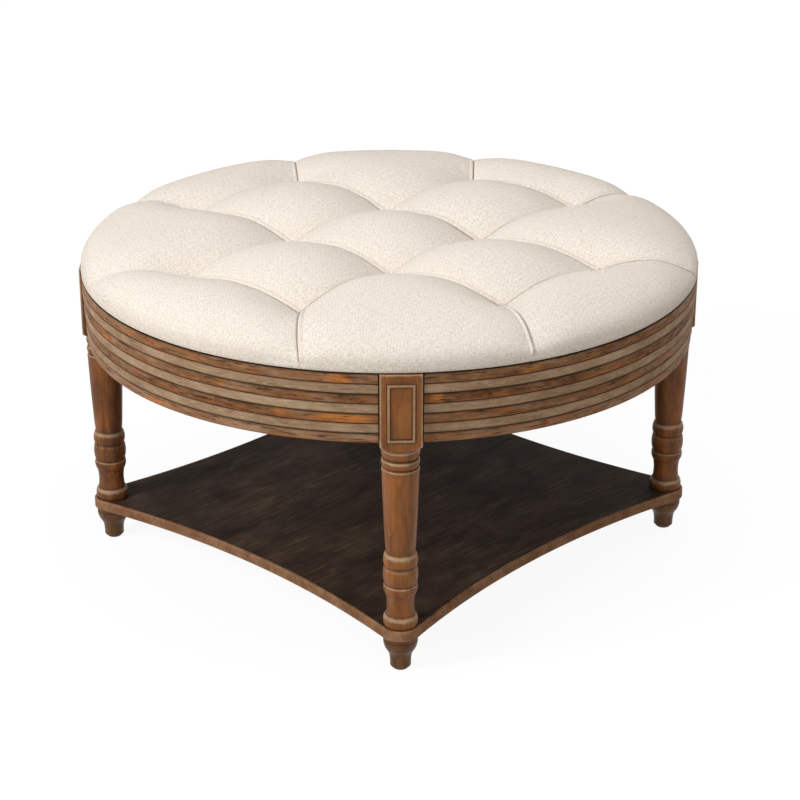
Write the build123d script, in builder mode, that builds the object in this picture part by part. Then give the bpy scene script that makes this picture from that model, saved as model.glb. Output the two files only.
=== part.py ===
from build123d import *
import os
from math import cos, hypot, radians, sin, sqrt

os.makedirs("parts", exist_ok=True)

# A round ottoman coffee table. +Z is up, the origin is the centre of the floor under it,
# and the four legs stand on the X and Y axes: front -Y, right +X, back +Y, left -X.
# All lengths are millimetres, all angles degrees.

# Overall sizes
apron_diameter = 914.4
apron_height = 100.4
leg_height = 382.6
shelf_thickness = 15.5
foot_height = 49.3
glide_height = 3.0
leg_count = 4
quarter_turn = 90.0

# Fits and clearances
glue_line = 0.2
soft_gap = 0.3
hole_clearance = 0.15

# Legs: a square block with a framed panel, then a turning
block_width = 57.2
block_height = 101.9
block_proud = 3.4
block_corner_chamfer = 1.4
turned_radius = 26.4
shoulder_overhang = 1.0
panel_frame_width = 38.4
panel_frame_height = 84.0
panel_top_margin = 13.0
panel_bead_width = 4.8
panel_bead_proud = 1.3
panel_bead_round = 1.2
panel_field_depth = 0.9

# Each turned feature is an arc: its start, its crest and its end, from the shelf upwards.
# A point is a share of the turned length, then a share of the turned radius.
leg_turning_shares = (
    ((0.000, 0.856), (0.030, 0.924), (0.056, 0.848)),
    ((0.062, 0.788), (0.121, 0.724), (0.178, 0.812)),
    ((0.180, 0.830), (0.207, 0.902), (0.229, 0.862)),
    ((0.230, 0.850), (0.283, 0.926), (0.330, 0.850)),
    ((0.331, 0.862), (0.367, 0.906), (0.398, 0.808)),
    ((0.404, 0.782), (0.613, 0.894), (0.832, 0.974)),
    ((0.832, 0.974), (0.846, 0.982), (0.858, 0.920)),
    ((0.859, 0.912), (0.882, 0.998), (0.906, 0.908)),
    ((0.907, 0.908), (0.930, 1.000), (0.952, 0.970)),
)
shoulder_start_share = 0.971
shoulder_belly_share = 0.979

# Feet: turned pegs under the shelf, each on a nailed glide
foot_radius = 24.3
foot_turning_shares = (
    ((0.000, 0.527), (0.018, 0.584), (0.053, 0.605)),
    ((0.053, 0.605), (0.183, 0.609), (0.314, 0.634)),
    ((0.314, 0.634), (0.436, 0.695), (0.548, 0.823)),
    ((0.548, 0.823), (0.700, 0.963), (0.852, 0.996)),
    ((0.853, 0.955), (0.913, 0.996), (0.972, 0.955)),
    ((0.973, 0.900), (0.986, 0.905), (1.000, 0.900)),
)
glide_radius = 11.0
glide_round = 0.8
glide_nail_radius = 1.3
glide_nail_length = 16.0

# Studs that tie each foot through the shelf into its leg
stud_radius = 5.0
stud_in_leg = 32.0
stud_in_foot = 26.0
stud_chamfer = 1.0

# Shelf with four hollow sides
shelf_side_hollow = 33.3
shelf_corner_radius = 27.5
shelf_top_round = 2.0
shelf_bottom_round = 1.2

# Apron: bent core pieces between the legs, faced with strips that step inwards
band_count = 7
band_gap = 0.3
band_step = 1.5
band_edge_chamfer = 0.9
strip_thickness = 8.0
strip_end_gap = 1.8
core_thickness = 14.0
core_bottom_lift = 1.0

# Dowels between the core pieces and the legs
dowel_radius = 4.0
dowel_in_leg = 14.0
dowel_in_core = 16.0
dowel_spacing = 50.0

# Corner braces behind the legs, with their bolts
brace_width = 170.0
brace_depth = 24.0
brace_height = 55.0
brace_drop = 1.6
bolt_radius = 4.0
bolt_spacing = 26.0
bolt_in_leg = 31.0
bolt_tail = 12.0
bolt_washer_radius = 9.0
bolt_washer_thickness = 1.6
nut_across_flats = 13.0
nut_height = 6.5

# Cleats halfway between the legs
cleat_width = 62.0
cleat_depth = 29.0
cleat_height = 34.0

# Wood screws
screw_radius = 2.2
screw_head_radius = 4.5
screw_head_height = 3.0
brace_screw_inset = 16.0
frame_screw_bite = 8.5
cleat_screw_spacing = 36.0
seat_screw_setback = 23.0
seat_screw_half_spacing = 50.0
cleat_screw_setback = 8.0
seat_screw_cover = 24.0
seat_screw_bite = 11.0

# Upholstered seat: board, dust cover, washers, twine and cushion
cushion_overhang = 0.6
crown_height = 67.6
cushion_edge_round = 6.0
cushion_shoulder_width = 36.0
crown_drop = 27.0
cover_thickness = 1.2
cover_turn_under = 36.0
board_inset = 6.5
board_thickness = 15.0
board_edge_round = 2.0
dust_cover_thickness = 0.5
dust_cover_lap = 7.0
dust_cover_hole_radius = 4.0

# Tufts: rows of two and three on a square lattice, joined by pleats
tuft_row_count = 5
tuft_pitch = 147.0
tuft_height = 24.6
tuft_floor_radius = 3.0
tuft_half_width = 56.0
pleat_depth = 27.0
pleat_rise = 4.0
pleat_overrun = 12.0
pleat_half_width = 70.0
border_pleat_half_width = 50.0
border_pleat_fall = 5.5
twine_radius = 1.2
twine_cover = 3.0
tuft_hole_radius = 4.0
tuft_washer_radius = 9.0
tuft_washer_thickness = 1.5
tuft_washer_recess = 3.5

# Levels and radii that follow from the sizes above
apron_radius = apron_diameter / 2
foot_top = glide_height + foot_height
shelf_top = foot_top + shelf_thickness
rail_top = shelf_top + leg_height
apron_bottom = rail_top - apron_height
block_half = block_width / 2
leg_axis_radius = apron_radius + block_proud - block_half
leg_back = leg_axis_radius - block_half
turned_length = leg_height - block_height
shelf_waist = leg_axis_radius / sqrt(2) + shelf_corner_radius - shelf_side_hollow
core_outer = apron_radius - band_step * (band_count // 2) - strip_thickness
core_inner = core_outer - core_thickness
brace_top = rail_top - brace_drop
brace_back = leg_back - glue_line - brace_depth
brace_middle = brace_top - brace_height / 2
cleat_back = core_inner - glue_line - cleat_depth
cushion_radius = apron_radius + cushion_overhang
dust_cover_bottom = rail_top + glue_line
cushion_bottom = dust_cover_bottom + dust_cover_thickness + soft_gap
cushion_top = rail_top + crown_height
board_radius = cushion_radius - board_inset
board_bottom = cushion_bottom + cover_thickness + soft_gap
board_top = board_bottom + board_thickness
cover_edge_radius = board_radius - cover_turn_under
tuft_level = rail_top + tuft_height

legs = {"front": -90.0, "right": 0.0, "back": 90.0, "left": 180.0}
quarters = {"front_right": -90.0, "back_right": 0.0, "back_left": 90.0, "front_left": 180.0}
quarter_middle = quarter_turn / 2
up = Vector(0, 0, 1)


def heading(angle):
    """Level unit vector at this angle from +X."""
    return Vector(cos(radians(angle)), sin(radians(angle)), 0)


def level_plane(angle, radius, height):
    """Level plane whose X runs outwards, with its origin at this radius and height."""
    outward = heading(angle)
    return Plane(origin=outward * radius + up * height, x_dir=outward, z_dir=up)


def upright_plane(angle, radius, height):
    """Upright plane through the table's axis: X runs outwards and Y upwards."""
    outward = heading(angle)
    return Plane(origin=outward * radius + up * height, x_dir=outward, z_dir=outward.cross(up))


def outward_plane(angle, radius, height, side=0.0):
    """Plane that faces outwards: X runs sideways, Y upwards and Z outwards."""
    outward = heading(angle)
    sideways = up.cross(outward)
    return Plane(origin=outward * radius + sideways * side + up * height, x_dir=sideways, z_dir=outward)


def sideways_plane(angle, radius, height, side, sign):
    """Plane that faces sideways, away from the leg's centre line."""
    outward = heading(angle)
    sideways = up.cross(outward)
    return Plane(origin=outward * radius + sideways * side + up * height, x_dir=outward, z_dir=sideways * sign)


def turned_outline(shares, length, radius):
    """Draw arcs through the shares, with short lines where the radius steps."""
    end = None
    for arc in shares:
        start, crest, finish = [(radius * r, length * h) for h, r in arc]
        if end is not None and end != start:
            Line(end, start)
        ThreePointArc(start, crest, finish)
        end = finish
    return end


def save(builder, name):
    """Label the finished piece and write its STEP file."""
    builder.part.label = name
    export_step(builder.part, f"parts/{name}.step")


# Feet
for side, angle in legs.items():
    with BuildPart() as foot:
        with BuildSketch(upright_plane(angle, leg_axis_radius, glide_height)):
            with BuildLine():
                foot_start = (foot_radius * foot_turning_shares[0][0][1], 0)
                Line((0, 0), foot_start)
                foot_end = turned_outline(foot_turning_shares, foot_height, foot_radius)
                Line(foot_end, (0, foot_height))
                Line((0, foot_height), (0, 0))
            make_face()
        revolve(axis=Axis(heading(angle) * leg_axis_radius, up))
        with BuildSketch(level_plane(angle, leg_axis_radius, foot_top)):
            Circle(stud_radius + hole_clearance)
        extrude(amount=-stud_in_foot - hole_clearance, mode=Mode.SUBTRACT)
        with BuildSketch(level_plane(angle, leg_axis_radius, glide_height)):
            Circle(glide_nail_radius)
        extrude(amount=glide_nail_length + hole_clearance, mode=Mode.SUBTRACT)
    save(foot, f"foot_{side}")

# Glides: a disc on the floor with its nail up in the foot
with BuildPart() as foot_glides:
    with BuildSketch():
        with PolarLocations(leg_axis_radius, leg_count):
            Circle(glide_radius)
    extrude(amount=glide_height)
    fillet(foot_glides.edges().group_by(Axis.Z)[0], glide_round)
    with BuildSketch(Plane.XY.offset(glide_height)):
        with PolarLocations(leg_axis_radius, leg_count):
            Circle(glide_nail_radius)
    extrude(amount=glide_nail_length)
save(foot_glides, "foot_glides")

# Studs
with BuildPart() as leg_studs:
    with BuildSketch(Plane.XY.offset(foot_top - stud_in_foot)):
        with PolarLocations(leg_axis_radius, leg_count):
            Circle(stud_radius)
    extrude(amount=stud_in_foot + shelf_thickness + stud_in_leg)
    chamfer(leg_studs.edges().group_by(Axis.Z)[0], stud_chamfer)
    chamfer(leg_studs.edges().group_by(Axis.Z)[-1], stud_chamfer)
save(leg_studs, "leg_studs")

# Shelf: each hollow side is an arc tangent to the round corners under two legs
diagonal = sqrt(2) * leg_axis_radius
side_arc_radius = (
    leg_axis_radius**2 + shelf_waist**2 - diagonal * shelf_waist - shelf_corner_radius**2
) / (diagonal + 2 * shelf_corner_radius - 2 * shelf_waist)
side_arc_centre = shelf_waist + side_arc_radius
with BuildPart() as shelf:
    with BuildSketch(Plane.XY.offset(foot_top)):
        with BuildLine():
            for angle in legs.values():
                corner = heading(angle) * leg_axis_radius
                before = heading(angle - quarter_middle)
                after = heading(angle + quarter_middle)
                joint_before = corner + (before * side_arc_centre - corner).normalized() * shelf_corner_radius
                joint_after = corner + (after * side_arc_centre - corner).normalized() * shelf_corner_radius
                tip = heading(angle) * (leg_axis_radius + shelf_corner_radius)
                ThreePointArc(joint_before, tip, joint_after)
                next_corner = heading(angle + quarter_turn) * leg_axis_radius
                next_joint = (
                    next_corner + (after * side_arc_centre - next_corner).normalized() * shelf_corner_radius
                )
                ThreePointArc(joint_after, after * shelf_waist, next_joint)
        make_face()
        with PolarLocations(leg_axis_radius, leg_count):
            Circle(stud_radius + hole_clearance, mode=Mode.SUBTRACT)
    extrude(amount=shelf_thickness)
    top_rim = shelf.faces().sort_by(Axis.Z)[-1].outer_wire().edges()
    bottom_rim = shelf.faces().sort_by(Axis.Z)[0].outer_wire().edges()
    fillet(top_rim, shelf_top_round)
    fillet(bottom_rim, shelf_bottom_round)
save(shelf, "shelf")

# Legs: the turned outline is cut by the square of the block, which leaves the shoulders
panel_middle = rail_top - panel_top_margin - panel_frame_height / 2
dowel_radius_at_leg = sqrt(((core_outer + core_inner) / 2) ** 2 - block_half**2)
dowel_levels = [rail_top - apron_height / 2 + shift for shift in (-dowel_spacing / 2, dowel_spacing / 2)]
bolt_levels = [brace_middle - bolt_spacing / 2, brace_middle + bolt_spacing / 2]
for side, angle in legs.items():
    with BuildPart() as leg:
        block_corner = hypot(block_half, block_half) + shoulder_overhang
        with BuildSketch(upright_plane(angle, leg_axis_radius, shelf_top)):
            with BuildLine():
                leg_start = (turned_radius * leg_turning_shares[0][0][1], 0)
                Line((0, 0), leg_start)
                neck = turned_outline(leg_turning_shares, turned_length, turned_radius)
                shoulder_foot = (neck[0], turned_length * shoulder_start_share)
                Line(neck, shoulder_foot)
                shoulder_belly = ((neck[0] + block_corner) / 2, turned_length * shoulder_belly_share)
                ThreePointArc(shoulder_foot, shoulder_belly, (block_corner, turned_length))
                Line((block_corner, turned_length), (block_corner, leg_height))
                Line((block_corner, leg_height), (0, leg_height))
                Line((0, leg_height), (0, 0))
            make_face()
        revolve(axis=Axis(heading(angle) * leg_axis_radius, up))
        with BuildSketch(level_plane(angle, leg_axis_radius, shelf_top)) as square:
            Rectangle(block_width, block_width)
            chamfer(square.vertices(), block_corner_chamfer)
        extrude(amount=leg_height, mode=Mode.INTERSECT)
        block_face = leg_axis_radius + block_half
        with BuildSketch(outward_plane(angle, block_face, panel_middle)):
            Rectangle(panel_frame_width, panel_frame_height)
            Rectangle(
                panel_frame_width - 2 * panel_bead_width,
                panel_frame_height - 2 * panel_bead_width,
                mode=Mode.SUBTRACT,
            )
        extrude(amount=panel_bead_proud)
        outermost = leg.faces().sort_by(Axis(Vector(), heading(angle)))[-1]
        fillet(outermost.edges(), panel_bead_round)
        with BuildSketch(outward_plane(angle, block_face, panel_middle)):
            Rectangle(
                panel_frame_width - 2 * panel_bead_width,
                panel_frame_height - 2 * panel_bead_width,
            )
        extrude(amount=-panel_field_depth, mode=Mode.SUBTRACT)
        with BuildSketch(level_plane(angle, leg_axis_radius, shelf_top)):
            Circle(stud_radius + hole_clearance)
        extrude(amount=stud_in_leg + hole_clearance, mode=Mode.SUBTRACT)
        with BuildSketch(*[outward_plane(angle, leg_back, level) for level in bolt_levels]):
            Circle(bolt_radius + hole_clearance)
        extrude(amount=bolt_in_leg + hole_clearance, mode=Mode.SUBTRACT)
        for sign in (-1, 1):
            dowel_planes = [
                sideways_plane(angle, dowel_radius_at_leg, level, sign * block_half, -sign)
                for level in dowel_levels
            ]
            with BuildSketch(*dowel_planes):
                Circle(dowel_radius + hole_clearance)
            extrude(amount=dowel_in_leg + hole_clearance, mode=Mode.SUBTRACT)
    save(leg, f"leg_{side}")

# Apron cores: a quarter of a hoop each, cut square where it meets the legs
core_start = block_half + glue_line
core_height = apron_height - core_bottom_lift
cleat_top = brace_top
cleat_middle = cleat_top - cleat_height / 2
brace_screw_side = brace_width / 2 - brace_screw_inset
brace_screw_tip = sqrt(core_inner**2 - brace_screw_side**2) + frame_screw_bite
cleat_screw_sides = (-cleat_screw_spacing / 2, cleat_screw_spacing / 2)
cleat_screw_tip = core_inner + frame_screw_bite
for quarter, angle in quarters.items():
    with BuildPart() as core:
        with BuildSketch(level_plane(angle, 0, apron_bottom + core_bottom_lift)):
            Circle(core_outer)
            Circle(core_inner, mode=Mode.SUBTRACT)
            with Locations((core_start, core_start)):
                Rectangle(core_outer, core_outer, align=(Align.MIN, Align.MIN), mode=Mode.INTERSECT)
        extrude(amount=core_height)
        for end, sign in ((angle, 1), (angle + quarter_turn, -1)):
            dowel_planes = [
                sideways_plane(end, dowel_radius_at_leg, level, sign * core_start, sign)
                for level in dowel_levels
            ]
            with BuildSketch(*dowel_planes):
                Circle(dowel_radius + hole_clearance)
            extrude(amount=dowel_in_core - glue_line + hole_clearance, mode=Mode.SUBTRACT)
            with BuildSketch(outward_plane(end, brace_back, brace_middle, sign * brace_screw_side)):
                Circle(screw_radius + hole_clearance)
            extrude(amount=brace_screw_tip - brace_back + hole_clearance, mode=Mode.SUBTRACT)
        cleat_planes = [
            outward_plane(angle + quarter_middle, cleat_back, cleat_middle, shift)
            for shift in cleat_screw_sides
        ]
        with BuildSketch(*cleat_planes):
            Circle(screw_radius + hole_clearance)
        extrude(amount=cleat_screw_tip - cleat_back + hole_clearance, mode=Mode.SUBTRACT)
    save(core, f"apron_core_{quarter}")

# Apron strips: brown and grey bands in turn, each pair set further in than the last
strip_start = block_half + strip_end_gap
band_height = (apron_height - band_gap * (band_count - 1)) / band_count
strip_inner = core_outer + glue_line
strip_bands = {"brown": range(0, band_count, 2), "grey": range(1, band_count, 2)}
for quarter, angle in quarters.items():
    for colour, bands in strip_bands.items():
        with BuildPart() as strips:
            for band in bands:
                band_outer = apron_radius - band_step * (band // 2)
                band_top = rail_top - band * (band_height + band_gap)
                with BuildSketch(level_plane(angle, 0, band_top)):
                    Circle(band_outer)
                    Circle(strip_inner, mode=Mode.SUBTRACT)
                    with Locations((strip_start, strip_start)):
                        Rectangle(band_outer, band_outer, align=(Align.MIN, Align.MIN), mode=Mode.INTERSECT)
                extrude(amount=-band_height)
            rims = strips.edges().filter_by(GeomType.CIRCLE).filter_by(lambda rim: rim.radius > strip_inner)
            chamfer(rims, band_edge_chamfer)
        save(strips, f"{colour}_strips_{quarter}")

# Dowels between the legs and the apron cores
with BuildPart() as apron_dowels:
    dowel_planes = [
        sideways_plane(angle, dowel_radius_at_leg, level, sign * (block_half - dowel_in_leg), sign)
        for angle in legs.values()
        for level in dowel_levels
        for sign in (-1, 1)
    ]
    with BuildSketch(*dowel_planes):
        Circle(dowel_radius)
    extrude(amount=dowel_in_leg + dowel_in_core)
save(apron_dowels, "apron_dowels")

# Corner braces, notched round the back of each leg
for side, angle in legs.items():
    with BuildPart() as brace:
        with BuildSketch(level_plane(angle, 0, brace_top - brace_height)):
            Circle(core_inner - glue_line)
            with Locations((brace_back, 0)):
                Rectangle(core_inner, brace_width, align=(Align.MIN, Align.CENTER), mode=Mode.INTERSECT)
            with Locations((leg_back - glue_line, 0)):
                Rectangle(
                    core_inner,
                    block_width + 2 * glue_line,
                    align=(Align.MIN, Align.CENTER),
                    mode=Mode.SUBTRACT,
                )
        extrude(amount=brace_height)
        with BuildSketch(*[outward_plane(angle, brace_back, level) for level in bolt_levels]):
            Circle(bolt_radius + hole_clearance)
        extrude(amount=brace_depth, mode=Mode.SUBTRACT)
        ear_screw_planes = [
            outward_plane(angle, brace_back, brace_middle, sign * brace_screw_side) for sign in (-1, 1)
        ]
        with BuildSketch(*ear_screw_planes):
            Circle(screw_radius + hole_clearance)
        extrude(amount=core_inner - brace_back, mode=Mode.SUBTRACT)
        with BuildSketch(*ear_screw_planes):
            Circle(screw_head_radius + hole_clearance)
        extrude(amount=screw_head_height + hole_clearance, mode=Mode.SUBTRACT)
        with BuildSketch(level_plane(angle, brace_back + seat_screw_setback, brace_top)):
            with Locations((0, -seat_screw_half_spacing), (0, seat_screw_half_spacing)):
                Circle(screw_radius + hole_clearance)
        extrude(amount=-brace_height, mode=Mode.SUBTRACT)
        with BuildSketch(level_plane(angle, brace_back + seat_screw_setback, brace_top - seat_screw_cover)):
            with Locations((0, -seat_screw_half_spacing), (0, seat_screw_half_spacing)):
                Circle(screw_head_radius + hole_clearance)
        extrude(amount=-brace_height + seat_screw_cover, mode=Mode.SUBTRACT)
    save(brace, f"corner_brace_{side}")

# Cleats
for quarter, angle in quarters.items():
    middle = angle + quarter_middle
    with BuildPart() as cleat:
        with BuildSketch(level_plane(middle, 0, cleat_top - cleat_height)):
            Circle(core_inner - glue_line)
            with Locations((cleat_back, 0)):
                Rectangle(core_inner, cleat_width, align=(Align.MIN, Align.CENTER), mode=Mode.INTERSECT)
        extrude(amount=cleat_height)
        cleat_planes = [
            outward_plane(middle, cleat_back, cleat_middle, shift)
            for shift in cleat_screw_sides
        ]
        with BuildSketch(*cleat_planes):
            Circle(screw_radius + hole_clearance)
        extrude(amount=core_inner - cleat_back, mode=Mode.SUBTRACT)
        with BuildSketch(*cleat_planes):
            Circle(screw_head_radius + hole_clearance)
        extrude(amount=screw_head_height + hole_clearance, mode=Mode.SUBTRACT)
        with BuildSketch(level_plane(middle, cleat_back + cleat_screw_setback, cleat_top)):
            Circle(screw_radius + hole_clearance)
        extrude(amount=-cleat_height, mode=Mode.SUBTRACT)
        with BuildSketch(level_plane(middle, cleat_back + cleat_screw_setback, cleat_top - seat_screw_cover)):
            Circle(screw_head_radius + hole_clearance)
        extrude(amount=-cleat_height + seat_screw_cover, mode=Mode.SUBTRACT)
    save(cleat, f"cleat_{quarter}")

# Bolts, washers and nuts that pull each leg to its brace
bolt_start = brace_back - bolt_tail
bolt_planes = [outward_plane(angle, bolt_start, level) for angle in legs.values() for level in bolt_levels]
washer_planes = [
    outward_plane(angle, brace_back - bolt_washer_thickness, level)
    for angle in legs.values()
    for level in bolt_levels
]
nut_planes = [
    outward_plane(angle, brace_back - bolt_washer_thickness - nut_height, level)
    for angle in legs.values()
    for level in bolt_levels
]
with BuildPart() as leg_bolts:
    with BuildSketch(*bolt_planes):
        Circle(bolt_radius)
    extrude(amount=leg_back + bolt_in_leg - bolt_start)
save(leg_bolts, "leg_bolts")
with BuildPart() as bolt_washers:
    with BuildSketch(*washer_planes):
        Circle(bolt_washer_radius)
        Circle(bolt_radius + hole_clearance, mode=Mode.SUBTRACT)
    extrude(amount=bolt_washer_thickness)
save(bolt_washers, "bolt_washers")
with BuildPart() as bolt_nuts:
    with BuildSketch(*nut_planes):
        RegularPolygon(nut_across_flats / 2, side_count=6, major_radius=False)
        Circle(bolt_radius + hole_clearance, mode=Mode.SUBTRACT)
    extrude(amount=nut_height)
save(bolt_nuts, "bolt_nuts")

# Screws that hold the braces and cleats to the cores
brace_screw_planes = [
    outward_plane(angle, brace_back, brace_middle, sign * brace_screw_side)
    for angle in legs.values()
    for sign in (-1, 1)
]
cleat_screw_planes = [
    outward_plane(angle + quarter_middle, cleat_back, cleat_middle, shift)
    for angle in quarters.values()
    for shift in cleat_screw_sides
]
with BuildPart() as frame_screws:
    for planes, length in (
        (brace_screw_planes, brace_screw_tip - brace_back),
        (cleat_screw_planes, cleat_screw_tip - cleat_back),
    ):
        with BuildSketch(*planes):
            Circle(screw_head_radius)
        extrude(amount=screw_head_height)
        with BuildSketch(*planes):
            Circle(screw_radius)
        extrude(amount=length)
save(frame_screws, "frame_screws")

# Screws that come up through braces and cleats and hold the seat board
seat_screw_places = [
    heading(angle) * (brace_back + seat_screw_setback)
    + up.cross(heading(angle)) * (sign * seat_screw_half_spacing)
    for angle in legs.values()
    for sign in (-1, 1)
] + [
    heading(angle + quarter_middle) * (cleat_back + cleat_screw_setback)
    for angle in quarters.values()
]
seat_screw_points = [(place.X, place.Y) for place in seat_screw_places]
seat_screw_foot = brace_top - seat_screw_cover - screw_head_height
with BuildPart() as seat_screws:
    with BuildSketch(Plane.XY.offset(seat_screw_foot)):
        with Locations(*seat_screw_points):
            Circle(screw_head_radius)
    extrude(amount=screw_head_height)
    with BuildSketch(Plane.XY.offset(seat_screw_foot)):
        with Locations(*seat_screw_points):
            Circle(screw_radius)
    extrude(amount=board_bottom + seat_screw_bite - seat_screw_foot)
save(seat_screws, "seat_screws")

# Tuft lattice: rows of two, three, two, three and two
last_row = tuft_row_count // 2
tufts = {}
for row in range(-last_row, last_row + 1):
    columns = (-1, 1) if row % 2 == 0 else (-2, 0, 2)
    for column in columns:
        tufts[(column, row)] = Vector(column * tuft_pitch, row * tuft_pitch, 0)
tuft_points = [(place.X, place.Y) for place in tufts.values()]

# Seat board, bored for the tufting twine and drilled for the screws
with BuildPart() as seat_board:
    with BuildSketch(Plane.XY.offset(board_bottom)):
        Circle(board_radius)
        with Locations(*tuft_points):
            Circle(tuft_hole_radius, mode=Mode.SUBTRACT)
    extrude(amount=board_thickness)
    fillet(seat_board.faces().sort_by(Axis.Z)[-1].outer_wire().edges(), board_edge_round)
    with BuildSketch(Plane.XY.offset(board_bottom)):
        with Locations(*tuft_points):
            Circle(tuft_washer_radius + hole_clearance)
    extrude(amount=tuft_washer_recess, mode=Mode.SUBTRACT)
    with BuildSketch(Plane.XY.offset(board_bottom)):
        with Locations(*seat_screw_points):
            Circle(screw_radius + hole_clearance)
    extrude(amount=seat_screw_bite + hole_clearance, mode=Mode.SUBTRACT)
save(seat_board, "seat_board")

# Washers sunk in the board's underside, which the twine is tied to
washer_top = board_bottom + tuft_washer_recess
with BuildPart() as tuft_washers:
    with BuildSketch(Plane.XY.offset(washer_top)):
        with Locations(*tuft_points):
            Circle(tuft_washer_radius)
            Circle(twine_radius + hole_clearance, mode=Mode.SUBTRACT)
    extrude(amount=-tuft_washer_thickness)
save(tuft_washers, "tuft_washers")

# Twine from each washer up to just under its tuft
twine_bottom = board_bottom + glue_line
with BuildPart() as tuft_twines:
    with BuildSketch(Plane.XY.offset(twine_bottom)):
        with Locations(*tuft_points):
            Circle(twine_radius)
    extrude(amount=tuft_level - twine_cover - twine_bottom)
save(tuft_twines, "tuft_twines")

# Dust cover stretched under the seat, trapped between the board and the frame
with BuildPart() as dust_cover:
    with BuildSketch(Plane.XY.offset(dust_cover_bottom)):
        Circle(cover_edge_radius + dust_cover_lap)
        with Locations(*seat_screw_points):
            Circle(dust_cover_hole_radius, mode=Mode.SUBTRACT)
    extrude(amount=dust_cover_thickness)
save(dust_cover, "dust_cover")

# Cushion: a crowned pad wrapped under the board, cut by pleats and tufts
crown_radius = (cushion_radius**2 + crown_drop**2) / (2 * crown_drop)
crown_centre = up * (cushion_top - crown_radius)


def crown_level(place):
    """Height of the uncut crown over this point of the plan."""
    return crown_centre.Z + sqrt(crown_radius**2 - place.length**2)


def pleat_start(place):
    """Lowest point of a pleat at this tuft."""
    return place + up * (crown_level(place) - pleat_depth)


# Border pleats run from the outer tufts to the rim, at these headings
border_pleat_angles = {
    (-1, 2): 94.0,
    (1, 2): 86.0,
    (-2, 1): 151.0,
    (2, 1): 31.0,
    (-2, -1): 180.0,
    (2, -1): 2.0,
    (-1, -2): -92.0,
    (1, -2): -76.0,
}
pleats = []
for (column, row), place in tufts.items():
    for step in (-1, 1):
        other = tufts.get((column + step, row + 1))
        if other is not None:
            pleats.append((pleat_start(place), pleat_start(other), pleat_half_width))
for key, angle in border_pleat_angles.items():
    reach = cushion_radius - tufts[key].length + pleat_depth
    rim_end = pleat_start(tufts[key]) + heading(angle) * reach - up * border_pleat_fall
    pleats.append((pleat_start(tufts[key]), rim_end, border_pleat_half_width))

with BuildPart() as tufted_cushion:
    with BuildSketch(Plane.XZ):
        with BuildLine():
            belly = (cushion_radius, cushion_bottom + cushion_edge_round)
            tuck = (cushion_radius - cushion_edge_round, cushion_bottom)
            Line((0, cushion_bottom), tuck)
            TangentArc(belly, tuck, tangent=(0, -1))
            shoulder_radius = cushion_radius - cushion_shoulder_width
            shoulder = (shoulder_radius, crown_level(Vector(shoulder_radius, 0, 0)))
            TangentArc(belly, shoulder, tangent=(0, 1))
            TangentArc((0, cushion_top), shoulder, tangent=(1, 0))
            Line((0, cushion_top), (0, cushion_bottom))
        make_face()
    revolve(axis=Axis.Z)
    for start, end, half_width in pleats:
        along = (end - start).normalized()
        across = ((start + end) / 2 - crown_centre).cross(along).normalized()
        brink = pleat_depth + pleat_rise
        section_top = brink + pleat_overrun
        with BuildSketch(Plane(origin=start, x_dir=across, z_dir=along)):
            with BuildLine():
                TangentArc((-half_width, brink), (0, 0), tangent=(1, 0))
                TangentArc((half_width, brink), (0, 0), tangent=(-1, 0))
                Line((half_width, brink), (half_width, section_top))
                Line((half_width, section_top), (-half_width, section_top))
                Line((-half_width, section_top), (-half_width, brink))
            make_face()
        extrude(amount=(end - start).length, mode=Mode.SUBTRACT)
    for place in tufts.values():
        tuft_depth = crown_level(place) - tuft_level
        mouth = tuft_floor_radius + tuft_half_width
        brink = tuft_depth + pleat_rise
        top = brink + pleat_overrun
        with BuildSketch(Plane(origin=place + up * tuft_level, x_dir=heading(0), z_dir=heading(-quarter_turn))):
            with BuildLine():
                Line((0, 0), (tuft_floor_radius, 0))
                TangentArc((mouth, brink), (tuft_floor_radius, 0), tangent=(-1, 0))
                Line((mouth, brink), (mouth, top))
                Line((mouth, top), (0, top))
                Line((0, top), (0, 0))
            make_face()
        revolve(axis=Axis(place, up), mode=Mode.SUBTRACT)
    with BuildSketch(Plane.XY.offset(cushion_bottom + cover_thickness)):
        Circle(board_radius + soft_gap)
    extrude(amount=board_thickness + 2 * soft_gap, mode=Mode.SUBTRACT)
    with BuildSketch(Plane.XY.offset(cushion_bottom)):
        Circle(cover_edge_radius)
    extrude(amount=cover_thickness, mode=Mode.SUBTRACT)
    with BuildSketch(Plane.XY.offset(board_top)):
        with Locations(*tuft_points):
            Circle(twine_radius + hole_clearance)
    extrude(amount=tuft_level - twine_cover + hole_clearance - board_top, mode=Mode.SUBTRACT)
save(tufted_cushion, "tufted_cushion")
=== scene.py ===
"""Looks of a round ottoman coffee table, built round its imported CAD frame.

Lengths are in millimetres until a mesh is made, and Blender's own are metres. The four legs
stand on the X and Y axes: front -Y, right +X, back +Y, left -X.
"""

from __future__ import annotations

import logging
import math
from collections.abc import Sequence
from dataclasses import dataclass, field
from enum import Enum

import bpy
import numpy as np
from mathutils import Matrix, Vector


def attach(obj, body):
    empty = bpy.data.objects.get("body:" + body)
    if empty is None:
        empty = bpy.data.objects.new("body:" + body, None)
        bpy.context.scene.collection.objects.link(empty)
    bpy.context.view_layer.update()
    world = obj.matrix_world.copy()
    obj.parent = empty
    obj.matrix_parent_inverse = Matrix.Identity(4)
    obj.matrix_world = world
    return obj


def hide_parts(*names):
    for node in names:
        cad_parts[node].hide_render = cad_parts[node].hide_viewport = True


Socket = bpy.types.NodeSocket
Tree = bpy.types.NodeTree
Mesh = bpy.types.Mesh
Material = bpy.types.Material

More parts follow.
